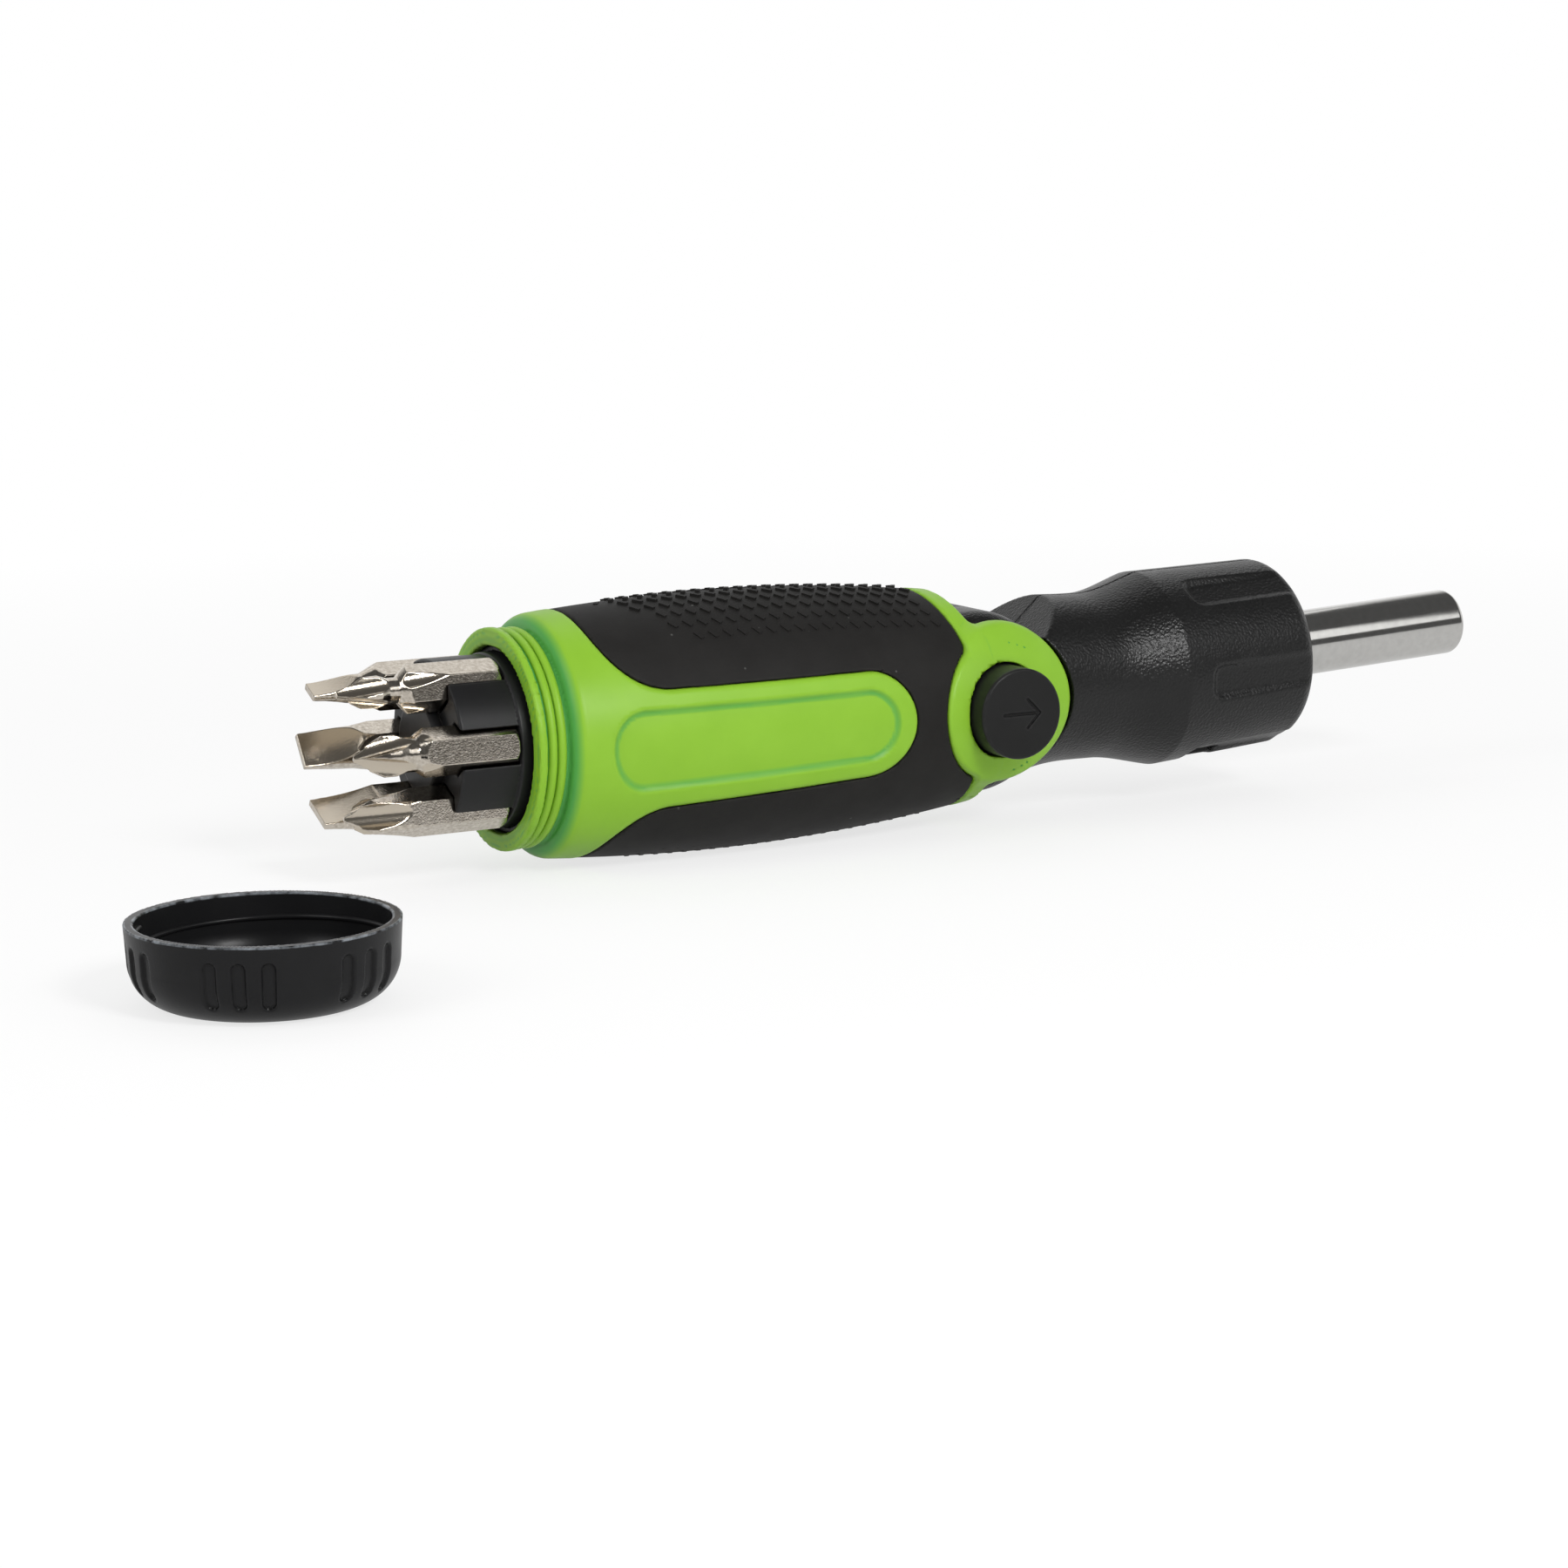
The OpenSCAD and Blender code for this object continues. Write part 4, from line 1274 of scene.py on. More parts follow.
    def dash_points(self, rows: DashRows) -> bpy.types.Mesh:
        """Makes a mesh of loose points that carry the turn and size of each raised dash.

        Args:
            rows: The rows of dashes.

        Returns:
            The mesh.
        """
        points, turns, shares = [], [], []
        spots = itertools.product((False, True), range(-rows.rows, rows.rows + 1), range(rows.steps))
        for under, row, step in spots:
            away = abs(row)
            x = rows.start + away * rows.shift + (step + 0.5 * (away % 2)) * rows.pitch
            angle = math.radians(row * rows.spacing) + (math.pi if under else 0.0)
            sink = rows.sink_under if under else rows.sink
            radius = float(self.belly(np.array(x))) + self.sleeve_proud - sink
            up = radius * math.cos(angle)
            if self.sleeve_outline(np.array(x), np.array(up)) > -rows.margin:
                continue
            points.append((x, radius * math.sin(angle), up))
            lean = rows.lean if (row >= 0) != under else -rows.lean
            turn = Matrix.Rotation(-angle, 3, "X") @ Matrix.Rotation(lean, 3, "Z")
            turns.append(tuple(turn.to_euler()))
            shares.append((1.0, 1.0, rows.height(x, away) * (rows.under_share if under else 1.0)))
        mesh = bpy.data.meshes.new("dash_points")
        mesh.from_pydata(place(np.array(points)).tolist(), [], [])
        for label, values in (("turn", turns), ("share", shares)):
            store = mesh.attributes.new(label, "FLOAT_VECTOR", "POINT")
            store.data.foreach_set("vector", np.array(values, np.float32).ravel())
        return mesh

    def build(self, shop: Workshop) -> None:
        """Makes the handle, its sleeve, the raised dashes and the neck's thread.

        Args:
            shop: Gives the materials and takes the finished pieces.
        """
        reach = 21.0
        low, high = (self.rim_x - 2, -reach, -reach), (16.0, reach, reach)
        core = skin_piece("handle_core_shell", Skin(low, high, self.cell), self.core_shape, self.shade)
        shop.finish(core, Body.HANDLE.value, Slot.HANDLE_GREEN, "handle_core")
        sleeve = skin_piece("grip_sleeve_skin", Skin(low, high, self.cell), self.sleeve_shape)
        shop.finish(sleeve, Body.HANDLE.value, Slot.GRIP_RUBBER, "grip_sleeve")
        rows = DashRows()
        rubber, green = shop.materials[Slot.GRIP_RUBBER], shop.materials[Slot.HANDLE_GREEN]
        size = (rows.half_l * MM, rows.half_w * MM, rows.half_h * MM)
        dashes = grow("grip_dashes", scatter_tree("grip_dash_rows"), {"Dash": size, "Finish": rubber},
                      self.dash_points(rows))
        shop.finish(dashes, Body.HANDLE.value, Slot.GRIP_RUBBER)
        start = place(np.array([self.rim_x + self.thread_from, 0.0, 0.0]))
        thread = grow("neck_thread", spiral_tree("neck_thread_ridge"), {
            "Turns": self.thread_turns, "Radius": self.neck_r * MM, "Pitch": self.thread_pitch * MM,
            "Ridge": self.thread_ridge * MM, "Place": tuple(start), "Tilt": (0.0, math.pi / 2, 0.0),
            "Finish": green})
        shop.finish(thread, Body.HANDLE.value, Slot.HANDLE_GREEN)


@dataclass(frozen=True)
class Barrel:
    """Barrel in two moulded halves, with the hub that turns between the handle's ears."""

    root_r: float = 15.8
    waist_r: float = 13.4
    waist_x: float = 22.0
    neck_end: float = 24.0
    crease_x: float = 35.5
    nose_rear_r: float = 15.8
    nose_front_r: float = 15.2
    nose_x: float = 61.0
    nose_round: float = 3.0
    taper_most: float = 1.2
    root_x: float = -4.0
    facet: float = math.radians(39.27)
    floor: float = math.radians(-74.33)
    ear_room_r: float = 14.4
    hub_r: float = 14.4
    hub_half: float = 10.0
    hub_round: float = 4.0
    boss_r: float = 11.05
    boss_out: float = 11.0
    lock_room_r: float = 9.8
    lock_floor: float = 3.0
    bolt_hole_r: float = 3.05
    flutes: int = 6
    flute_half: float = 3.0
    flute_floor: float = 14.55
    flute_x: float = 40.0
    flute_corner: float = 2.0
    flute_hollow: float = 1.4
    flute_turn: float = math.radians(-4.6)
    flare_ease: float = 0.4
    root_lift: float = 0.8
    root_mid: float = 14.0
    root_run: float = 9.0
    seam: float = 0.12
    seam_edge: float = 0.22
    hollows: tuple = ((25.6, 29.6, 6.6), (29.5, 35.8, 7.0), (35.7, 48.5, 10.0), (48.4, 53.1, 5.8),
                      (53.0, 54.2, 9.5), (53.0, 99.0, 8.0))
    window: tuple = (40.1, 46.9, 4.5, -13.6)
    pocket: tuple = (39.6, 47.4, 4.9, -13.8, -9.0)
    tail: tuple = (40.2, 52.2, 3.0, -13.8, -11.9)
    screws: tuple = ((19.0, 8.6), (19.0, -8.6), (44.0, 12.2), (57.0, -11.6))
    screw_head_r: float = 2.4
    screw_seat: float = 5.0
    screw_hole_r: float = 1.25
    screw_hole: tuple = (-4.6, 7.0)
    edge: float = 0.3
    small_edge: float = 0.25
    hollow_edge: float = 0.15
    flute_edge: float = 0.5
    hub_fillet: float = 0.2
    boss_from: float = 5.0
    cell: float = 0.4

    @staticmethod
    def turned(x: Array, z: Array) -> tuple[Array, Array]:
        """Returns stations along and above the barrel's own axis."""
        c, s = math.cos(BARREL_RISE), math.sin(BARREL_RISE)
        return x * c + z * s, z * c - x * s

    def profile(self, x: Array) -> Array:
        """Gives the barrel's outline.

        Args:
            x: Stations along the barrel's own axis.

        Returns:
            Its radius at each station.
        """
        root = self.waist_r + (self.root_r - self.waist_r) * ((self.waist_x - x) / self.waist_x) ** 2
        t = np.clip((x - self.neck_end) / (self.crease_x - self.neck_end), 0.0, 1.0)
        rise = t * t * (1 + self.flare_ease * 2 * (1 - t))
        flare = self.waist_r + (self.nose_rear_r - self.waist_r) * rise
        taper_l = self.nose_x - self.nose_round - self.crease_x
        along = np.clip((x - self.crease_x) / taper_l, 0.0, self.taper_most)
        taper = (self.nose_front_r - self.nose_rear_r) * along
        return np.where(x < self.waist_x, root, flare + taper)

    def shape(self, x: Array, y: Array, z: Array) -> Array:
        """Gives the barrel, both halves as one.

        Args:
            x: Stations along the tool.
            y: Places across it, away from the button.
            z: Heights above its axis.

        Returns:
            Distance to its surface, negative inside.
        """
        x, z = self.turned(x, z)
        rho, q, side = np.hypot(y, z), np.hypot(x, z), np.abs(y)
        lift = self.root_lift * np.exp(-((x - self.root_mid) / self.root_run) ** 2)
        body = both(np.hypot(y, z - lift) - self.profile(x), x - self.nose_x, self.nose_round)
        body = np.maximum(body, self.root_x - x)
        for i in range(self.flutes):
            angle = 2 * math.pi * (i + 0.5) / self.flutes + self.flute_turn
            up = z * math.cos(angle) + y * math.sin(angle)
            across = y * math.cos(angle) - z * math.sin(angle)
            outline = both(np.abs(across) - self.flute_half, self.flute_x - x, self.flute_corner)
            body = cut(body, both(outline, self.flute_floor - up, self.flute_hollow), self.flute_edge)
        body = both(body, z * math.cos(self.facet) - x * math.sin(self.facet), self.small_edge)
        body = both(body, x * math.sin(self.floor) - z * math.cos(self.floor), self.edge)
        body = cut(body, np.maximum(q - self.ear_room_r, self.hub_half - side), self.edge)
        body = either(body, drum(q, y, self.hub_r, self.hub_half, self.hub_round), self.hub_fillet)
        body = np.minimum(body, most(q - self.boss_r, between(-y, self.boss_from, self.boss_out)))
        body = np.maximum(body, -np.maximum(q - self.lock_room_r, y + self.lock_floor))
        body = np.maximum(body, self.bolt_hole_r - q)
        for start, end, r in self.hollows:
            body = cut(body, np.maximum(rho - r, between(x, start, end)), self.hollow_edge)
        for start, end, half, low, high in (self.pocket, self.tail):
            body = np.maximum(body, -most(between(x, start, end), side - half, between(z, low, high)))
        start, end, half, top = self.window
        body = cut(body, most(between(x, start, end), side - half, z - top), self.edge)
        for at_x, at_z in self.screws:
            off = np.hypot(x - at_x, z - at_z)
            body = cut(body, np.maximum(off - self.screw_head_r, self.screw_seat - y), self.small_edge)
            body = np.maximum(body, -np.maximum(off - self.screw_hole_r, between(y, *self.screw_hole)))
        return body

    def half(self, side: int) -> Field:
        """Gives the shape of one half.

        Args:
            side: -1 for the half that faces the button, 1 for the other.

        Returns:
            Its distance field.
        """

        def shape(x: Array, y: Array, z: Array) -> Array:
            """Returns the distance to this half."""
            return both(self.shape(x, y, z), self.seam / 2 - side * y, self.seam_edge)

        return shape

    def build(self, shop: Workshop) -> None:
        """Makes the two halves.

        Args:
            shop: Gives the materials and takes the finished pieces.
        """
        for name, side in (("barrel_left", -1), ("barrel_right", 1)):
            near, far = (-17.0, 1.0) if side < 0 else (-1.0, 17.0)
            skin = Skin((-16.0, near, -18.0), (63.0, far, 20.5), self.cell)
            piece = skin_piece(name + "_shell", skin, self.half(side))
            shop.finish(piece, Body.BARREL.value, Slot.BARREL_BLACK, name)


@dataclass(frozen=True)
class PivotTrim:
    """Lock button in the near ear, plug in the far ear and direction rocker under the nose."""

    button_r: float = 7.07
    button_face: float = 21.4
    button_round: float = 0.5
    button_lap: float = 0.2
    flange_r: float = 8.1
    flange_out: float = 13.7
    flange_in: float = 12.3
    flange_edge: float = 0.2
    push_r: float = 4.0
    push_in: float = 11.0
    push_lap: float = 0.3
    mark_d: float = 0.3
    mark_half_w: float = 0.22
    mark_half_l: float = 3.2
    mark_head: float = 2.2
    mark_edge: float = 0.12
    plug_r: float = 6.88
    plug_in: float = 16.3
    plug_edge: float = 0.45
    rocker: tuple = (40.5, 46.5, 3.6, -13.1)
    rocker_r: float = 15.25
    rocker_round: float = 0.5
    rocker_edge: float = 0.35
    finger_r: float = 2.2
    finger_z: float = -16.85
    cell: float = 0.22
    fine_cell: float = 0.16

    def mark(self, x: Array, z: Array) -> Array:
        """Gives a plain arrow that points forward, seen from the side.

        Args:
            x: Stations along the tool.
            z: Heights above its axis.

        Returns:
            Distance to its outline, negative inside.
        """
        stem = np.hypot(np.maximum(np.abs(x) - self.mark_half_l, 0.0), z)
        back = np.clip((self.mark_half_l - x + np.abs(z)) / 2, 0.0, self.mark_head)
        head = np.hypot(x - self.mark_half_l + back, np.abs(z) - back)
        return np.minimum(stem, head) - self.mark_half_w

    def button_shape(self, x: Array, y: Array, z: Array) -> Array:
        """Gives the lock button with its flange.

        Args:
            x: Stations along the tool.
            y: Places across it, away from the button.
            z: Heights above its axis.

        Returns:
            Distance to its surface, negative inside.
        """
        q = np.hypot(x, z)
        button = both(q - self.button_r, -self.button_face - y, self.button_round)
        button = np.maximum(button, y + self.flange_out - self.button_lap)
        button = cut(button, np.maximum(self.mark(x, z), y + self.button_face - self.mark_d), self.mark_edge)
        flange = both(q - self.flange_r, between(-y, self.flange_in, self.flange_out), self.flange_edge)
        push = np.maximum(q - self.push_r, between(-y, self.push_in, self.flange_in + self.push_lap))
        return least(button, flange, push)

    def plug_shape(self, x: Array, y: Array, z: Array) -> Array:
        """Returns the distance to the plug over the pivot's bolt."""
        outside = np.hypot(y, z) - Handle().ear_out(x)
        return np.maximum(both(np.hypot(x, z) - self.plug_r, outside, self.plug_edge), self.plug_in - y)

    def rocker_shape(self, x: Array, y: Array, z: Array) -> Array:
        """Gives the direction rocker.

        Args:
            x: Stations along the tool.
            y: Places across it, away from the button.
            z: Heights above its axis.

        Returns:
            Distance to its surface, negative inside.
        """
        x, z = Barrel.turned(x, z)
        start, end, half, top = self.rocker
        block = both(between(x, start, end), np.abs(y) - half, self.rocker_round)
        block = both(np.maximum(block, z - top), np.hypot(y, z) - self.rocker_r, self.rocker_edge)
        return cut(block, np.hypot(y, z - self.finger_z) - self.finger_r, self.rocker_edge)

    def build(self, shop: Workshop) -> None:
        """Makes the three pieces.

        Args:
            shop: Gives the materials and takes the finished pieces.
        """
        reach = 8.6
        button = Skin((-reach, -22.0, -reach), (reach, -10.5, reach), self.fine_cell)
        plug = Skin((-reach, 15.5, -reach), (reach, 18.8, reach), self.cell)
        rocker = Skin((39.0, -4.4, -15.0), (48.5, 4.4, -8.5), self.fine_cell)
        pieces = (
            ("pivot_button_face", button, self.button_shape, Body.BUTTON, "pivot_button"),
            ("pivot_cap_plug", plug, self.plug_shape, Body.HANDLE, "pivot_cap"),
            ("direction_rocker_pad", rocker, self.rocker_shape, Body.SELECTOR, "direction_rocker"),
        )
        for name, skin, shape, body, node in pieces:
            shop.finish(skin_piece(name, skin, shape), body.value, Slot.TRIM_BLACK, node)


@dataclass(frozen=True)
class Shaft:
    """Bright drive shaft with its hexagonal socket."""

    r: float = 5.4
    start: float = 36.0
    tip: float = 98.5
    tip_round: float = 1.1
    journal_r: float = 4.0
    journal_end: float = 26.6
    journal_lap: float = 0.5
    groove: tuple = (28.2, 29.2, 3.4)
    socket_flats: float = 6.5
    socket_l: float = 12.0
    socket_lead: float = 0.4
    magnet_r: float = 3.0
    magnet_l: float = 3.1
    cell: float = 0.25

    def shape(self, x: Array, y: Array, z: Array) -> Array:
        """Gives the shaft with its socket.

        Args:
            x: Stations along the tool.
            y: Places across it, away from the button.
            z: Heights above its axis.

        Returns:
            Distance to its surface, negative inside.
        """
        x, z = Barrel.turned(x, z)
        rho = np.hypot(y, z)
        bar = both(np.maximum(rho - self.r, self.start - x), x - self.tip, self.tip_round)
        along = between(x, self.journal_end, self.start + self.journal_lap)
        journal = np.maximum(rho - self.journal_r, along)
        start, end, r = self.groove
        journal = np.maximum(journal, -np.maximum(r - rho, between(x, start, end)))
        socket = np.maximum(hexagon(z, y, self.socket_flats), self.tip - self.socket_l - x)
        hole = np.maximum(rho - self.magnet_r, self.tip - self.socket_l - self.magnet_l - x)
        return cut(np.minimum(bar, journal), np.minimum(socket, hole), self.socket_lead)

    def build(self, shop: Workshop) -> None:
        """Makes the shaft."""
        skin = Skin((25.5, -6.0, -5.5), (99.5, 6.0, 11.0), self.cell)
        shop.finish(skin_piece("shaft_bar", skin, self.shape), Body.SPINDLE.value, Slot.SHAFT_CHROME, "shaft")


class Tip(Enum):
    """Kinds of bit tip."""

    CROSS = "cross"
    FLAT = "flat"


@dataclass(frozen=True)
class Bit:
    """One hexagonal bit in its place of the carrier's ring.

    Attributes:
        node: The solid that it stands for, whose body has the same name.
        place: Its number round the ring.
        tip: Kind of its tip.
        turn: How far the tip is turned in the hexagon, in degrees.
        wide: Radius of the cross tip, or half of the flat tip's width.
        point: Radius of a cross tip's end.
        cone: Length of its cone.
        waist: Radius of its waist, or none.
    """

    node: str
    place: int
    tip: Tip
    turn: float
    wide: float
    point: float = 0.0
    cone: float = 0.0
    waist: float = 0.0
    flats: float = 6.35
    length: float = 25.0
    tip_l: float = 11.0
    chamfer: float = 0.6
    ring_r: float = 10.4
    ring_turn: float = 5.0
    rear_x: float = -81.0
    flute_r: float = 2.2
    flute_core: float = 0.4
    flute_runout: float = 1.0
    cheek_r: float = 16.0
    blade_t: float = 1.0
    blade_neck: float = 3.0
    blade_flare: float = 0.4
    waist_steps: tuple = (1.6, 3.2, 4.6)
    taper_share: float = 0.85
    end_edge: float = 0.15
    ground_edge: float = 0.1
    ground_reach: float = 0.12
    cell: float = 0.16

    def own(self, x: Array, y: Array, z: Array) -> tuple[Array, Array, Array]:
        """Turns places of the tool's frame into the bit's own.

        Args:
            x: Stations along the tool.
            y: Places across it, away from the button.
            z: Heights above its axis.

        Returns:
            Two places across the bit, and the station from its seat to its tip.
        """
        angle = math.radians(self.ring_turn + 60 * self.place)
        c, s = math.cos(angle), math.sin(angle)
        return y * s + z * c, y * c - z * s + self.ring_r, self.rear_x - x

    def outline(self) -> tuple[list, list]:
        """Gives the turned outline of the bit.

        Returns:
            Stations along the bit and the radius at each.
        """
        corner = self.flats / math.sqrt(3)
        hex_l = self.length - self.tip_l
        points = [(0.0, corner - self.chamfer), (self.chamfer, corner), (hex_l, corner)]
        if self.tip is Tip.FLAT:
            points += [(hex_l + self.blade_neck, self.wide + self.blade_flare), (self.length, self.wide)]
        else:
            a, b, c = self.waist_steps
            if self.waist:
                points += [(hex_l + a, self.waist), (hex_l + b, self.waist), (hex_l + c, self.wide)]
            else:
                points.append((hex_l + a, self.wide))
            points += [(self.length - self.cone, self.wide), (self.length, self.point)]
        return [p[0] for p in points], [p[1] for p in points]

    def grinding(self, u: Array, v: Array, w: Array) -> Array:
        """Gives what the grinding wheel takes off the tip.

        Args:
            u: Places across the bit.
            v: Places across the bit, square to the first.
            w: Stations from its seat to its tip.

        Returns:
            Distance to its surface, negative inside.
        """
        if self.tip is Tip.FLAT:
            angle = math.radians(self.turn)
            off = np.abs(u * math.cos(angle) + v * math.sin(angle))
            return np.hypot(off - self.blade_t / 2 - self.cheek_r, w - self.length) - self.cheek_r
        lean = math.atan((self.wide - self.flute_core) / (self.tip_l - self.flute_runout))
        flutes = []
        for i in range(4):
            angle = math.radians(self.turn + 90 * i)
            out = u * math.cos(angle) + v * math.sin(angle) - self.flute_r - self.flute_core
            side = v * math.cos(angle) - u * math.sin(angle)
            off = out * math.cos(lean) + (w - self.length) * math.sin(lean)
            flutes.append(np.hypot(off, side) - self.flute_r)
        return least(*flutes)

    def shape(self, x: Array, y: Array, z: Array) -> Array:
        """Gives the bit.

        Args:
            x: Stations along the tool.
            y: Places across it, away from the button.
            z: Heights above its axis.

        Returns:
            Distance to its surface, negative inside.
        """
        u, v, w = self.own(x, y, z)
        stations, radii = self.outline()
        turned = self.taper_share * (np.hypot(u, v) - np.interp(w, stations, radii))
        bar = both(np.maximum(hexagon(u, v, self.flats), turned), between(w, 0.0, self.length), self.end_edge)
        return cut(bar, self.grinding(u, v, w), self.ground_edge)

    def build(self, shop: Workshop) -> None:
        """Makes the bit, with its ground faces marked.

        Args:
            shop: Gives the materials and takes the finished pieces.
        """
        angle = math.radians(self.ring_turn + 60 * self.place)
        middle = np.array([-self.ring_r * math.cos(angle), self.ring_r * math.sin(angle)])
        reach, room = 4.2, 0.6
        low = (self.rear_x - self.length - room, *(middle - reach))
        high = (self.rear_x + room, *(middle + reach))
        vertices, quads, normals, bend = Skin(low, high, self.cell).build(self.shape)
        piece = mesh_piece(self.node + "_bar", place(vertices), quads, normals)
        off = np.abs(self.grinding(*self.own(*vertices.T)))
        ground = np.clip(1.0 - off / self.ground_reach, 0.0, 1.0)
        store_values(piece, "bend", bend)
        store_values(piece, "ground", ground)
        shop.finish(piece, self.node, Slot.BIT_NICKEL, self.node)


BITS = (
    Bit("phillips_bit_medium", 0, Tip.CROSS, -40.0, 3.0, 0.9, 4.6, 2.6),
    Bit("phillips_bit_small", 1, Tip.CROSS, -30.0, 2.4, 0.6, 4.0, 1.9),
    Bit("slotted_bit_small", 2, Tip.FLAT, 30.0, 1.8),
    Bit("slotted_bit_medium", 3, Tip.FLAT, -60.0, 2.8),
    Bit("slotted_bit_large", 4, Tip.FLAT, 90.0, 3.3),
    Bit("phillips_bit_large", 5, Tip.CROSS, -25.0, 3.5, 1.4, 4.4),
)


@dataclass(frozen=True)
class Carrier:
    """Star shaped carrier that holds the bits in the handle."""

    plug_r: float = 14.15
    plug_rear: float = -78.2
    plug_l: float = 12.0
    plug_wall_r: float = 12.2
    plug_floor: float = 3.0
    boss_r: float = 13.175
    boss_rear: float = -80.8
    rib_r: float = 12.9
    rib_rear: float = -90.0
    core_r: float = 6.975
    core_rear: float = -91.7
    hole_flats: float = 6.85
    hole_floor: float = 0.2
    hole_edge: float = 0.25
    plug_edge: float = 0.3
    step_lap: float = 0.5
    step_edge: float = 0.4
    cell: float = 0.28

    def shape(self, x: Array, y: Array, z: Array) -> Array:
        """Gives the carrier with its holes for the bits.

        Args:
            x: Stations along the tool.
            y: Places across it, away from the button.
            z: Heights above its axis.

        Returns:
            Distance to its surface, negative inside.
        """
        rho = np.hypot(y, z)
        along = between(x, self.plug_rear, self.plug_rear + self.plug_l)
        body = both(rho - self.plug_r, along, self.plug_edge)
        steps = ((self.boss_r, self.boss_rear), (self.rib_r, self.rib_rear), (self.core_r, self.core_rear))
        for r, rear in steps:
            along = between(x, rear, self.plug_rear + self.step_lap)
            body = np.minimum(body, both(rho - r, along, self.step_edge))
        inside = np.maximum(rho - self.plug_wall_r, self.plug_rear + self.plug_floor - x)
        body = cut(body, inside, self.plug_edge)
        for bit in BITS:
            u, v, w = bit.own(x, y, z)
            hole = np.maximum(hexagon(u, v, self.hole_flats), -self.hole_floor - w)
            body = cut(body, hole, self.hole_edge)
        return body

    def build(self, shop: Workshop) -> None:
        """Makes the carrier and its bits.

        Args:
            shop: Gives the materials and takes the finished pieces.
        """
        reach = 14.8
        ends = (self.core_rear - 1, self.plug_rear + self.plug_l + 1)
        skin = Skin((ends[0], -reach, -reach), (ends[1], reach, reach), self.cell)
        piece = skin_piece("bit_carrier_star", skin, self.shape)
        shop.finish(piece, Body.CARRIER.value, Slot.CARRIER_BLACK, "bit_carrier")
        for bit in BITS:
            bit.build(shop)


@dataclass(frozen=True)
class Cap:
    """Screw cap that lies on the table, open side up."""

    back: float = 140.0
    aside: float = 62.0
    r: float = 17.8
    h: float = 10.8
    wall: float = 1.3
    draw: float = 0.3
    floor: float = 1.8
    dome_h: float = 6.0
    groups: int = 6
    slots: int = 3
    slot_step: float = math.radians(12.5)
    group_turn: float = math.radians(-1.7)
    slot_half_l: float = 2.2
    slot_half_w: float = 0.8
    slot_mid: float = 5.6
    slot_d: float = 0.45
    thread_pitch: float = 2.2
    thread_turns: float = 1.6
    thread_top: float = 1.6
    thread_sink: float = 0.1
    thread_ridge: float = 0.4
    edge: float = 0.2
    slot_edge: float = 0.45
    # Band under the rim's top whose edges get the painted highlight.
    rim_highlight_h: float = 0.5
    cell: float = 0.26

    def middle(self) -> tuple[float, float, float]:
        """Returns the middle of the cap's foot, on the table."""
        return (-self.back, -self.aside, -PIVOT.z / MM)

    def bowl(self, rho: Array, z: Array, inset: float, floor: float) -> Array:
        """Gives the cup's outside, or its inside when it is inset.

        Args:
            rho: Distances from the cap's axis.
            z: Heights above the table.
            inset: Thickness of the wall, or 0 for the outside.
            floor: Thickness of the floor, or 0 for the outside.

        Returns:
            Distance to its surface, negative inside.
        """
        round_r = self.dome_h - floor
        foot = self.r - self.draw - inset - round_r
        draw = self.draw * np.clip((z - self.dome_h) / (self.h - self.dome_h), 0.0, 1.0)
        return np.hypot(np.maximum(rho - foot, 0.0), np.maximum(self.dome_h - z, 0.0)) - round_r - draw

    def shape(self, x: Array, y: Array, z: Array) -> Array:
        """Gives the cap with its recessed slots.

        Args:
            x: Stations along the tool.
            y: Places across it, away from the button.
            z: Heights above its axis.

        Returns:
            Distance to its surface, negative inside.
        """
        cx, cy, cz = self.middle()
        x, y, z = x - cx, y - cy, z - cz
        rho = np.hypot(x, y)
        outside = both(self.bowl(rho, z, 0.0, 0.0), -z, self.edge)
        cup = cut(np.maximum(outside, z - self.h), self.bowl(rho, z, self.wall, self.floor), self.edge)
        for group, slot in itertools.product(range(self.groups), range(self.slots)):
            angle = self.group_turn + 2 * math.pi * group / self.groups
            angle += (slot - (self.slots - 1) / 2) * self.slot_step
            out = x * math.cos(angle) + y * math.sin(angle)
            across = y * math.cos(angle) - x * math.sin(angle)
            oblong = capsule(across, z - self.slot_mid, self.slot_half_l, self.slot_half_w)
            hollow = both(np.maximum(oblong, -out), -outside - self.slot_d, self.edge)
            cup = cut(cup, hollow, self.slot_edge)
        return cup

    def shade(self, x: Array, y: Array, z: Array) -> Array:
        """Returns 0 below the rim, so that no edge gets the painted highlight there, and a value without effect
        above.
        """
        return np.where(z - self.middle()[2] < self.h - self.rim_highlight_h, 0.0, NO_SHADE)

    def build(self, shop: Workshop) -> None:
        """Makes the cap and the thread inside it.

        Args:
            shop: Gives the materials and takes the finished pieces.
        """
        cx, cy, cz = self.middle()
        room = 0.8
        reach = self.r + room
        low, high = (cx - reach, cy - reach, cz - room), (cx + reach, cy + reach, cz + self.h + room)
        skin = Skin(low, high, self.cell)
        cup = skin_piece("storage_cap_cup", skin, self.shape, self.shade)
        shop.finish(cup, Body.CAP.value, Slot.CAP_BLACK, "storage_cap")
        top = self.h - self.thread_top - self.thread_turns * self.thread_pitch
        start = place(np.array([cx, cy, cz + top]))
        thread = grow("cap_thread", spiral_tree("cap_thread_ridge"), {
            "Turns": self.thread_turns, "Radius": (self.r - self.wall - self.thread_sink) * MM,
            "Pitch": self.thread_pitch * MM, "Ridge": self.thread_ridge * MM, "Place": tuple(start),
            "Tilt": (0.0, 0.0, 0.0), "Finish": shop.materials[Slot.CAP_BLACK]})
        shop.finish(thread, Body.CAP.value, Slot.CAP_BLACK)


# Camera, floor and light


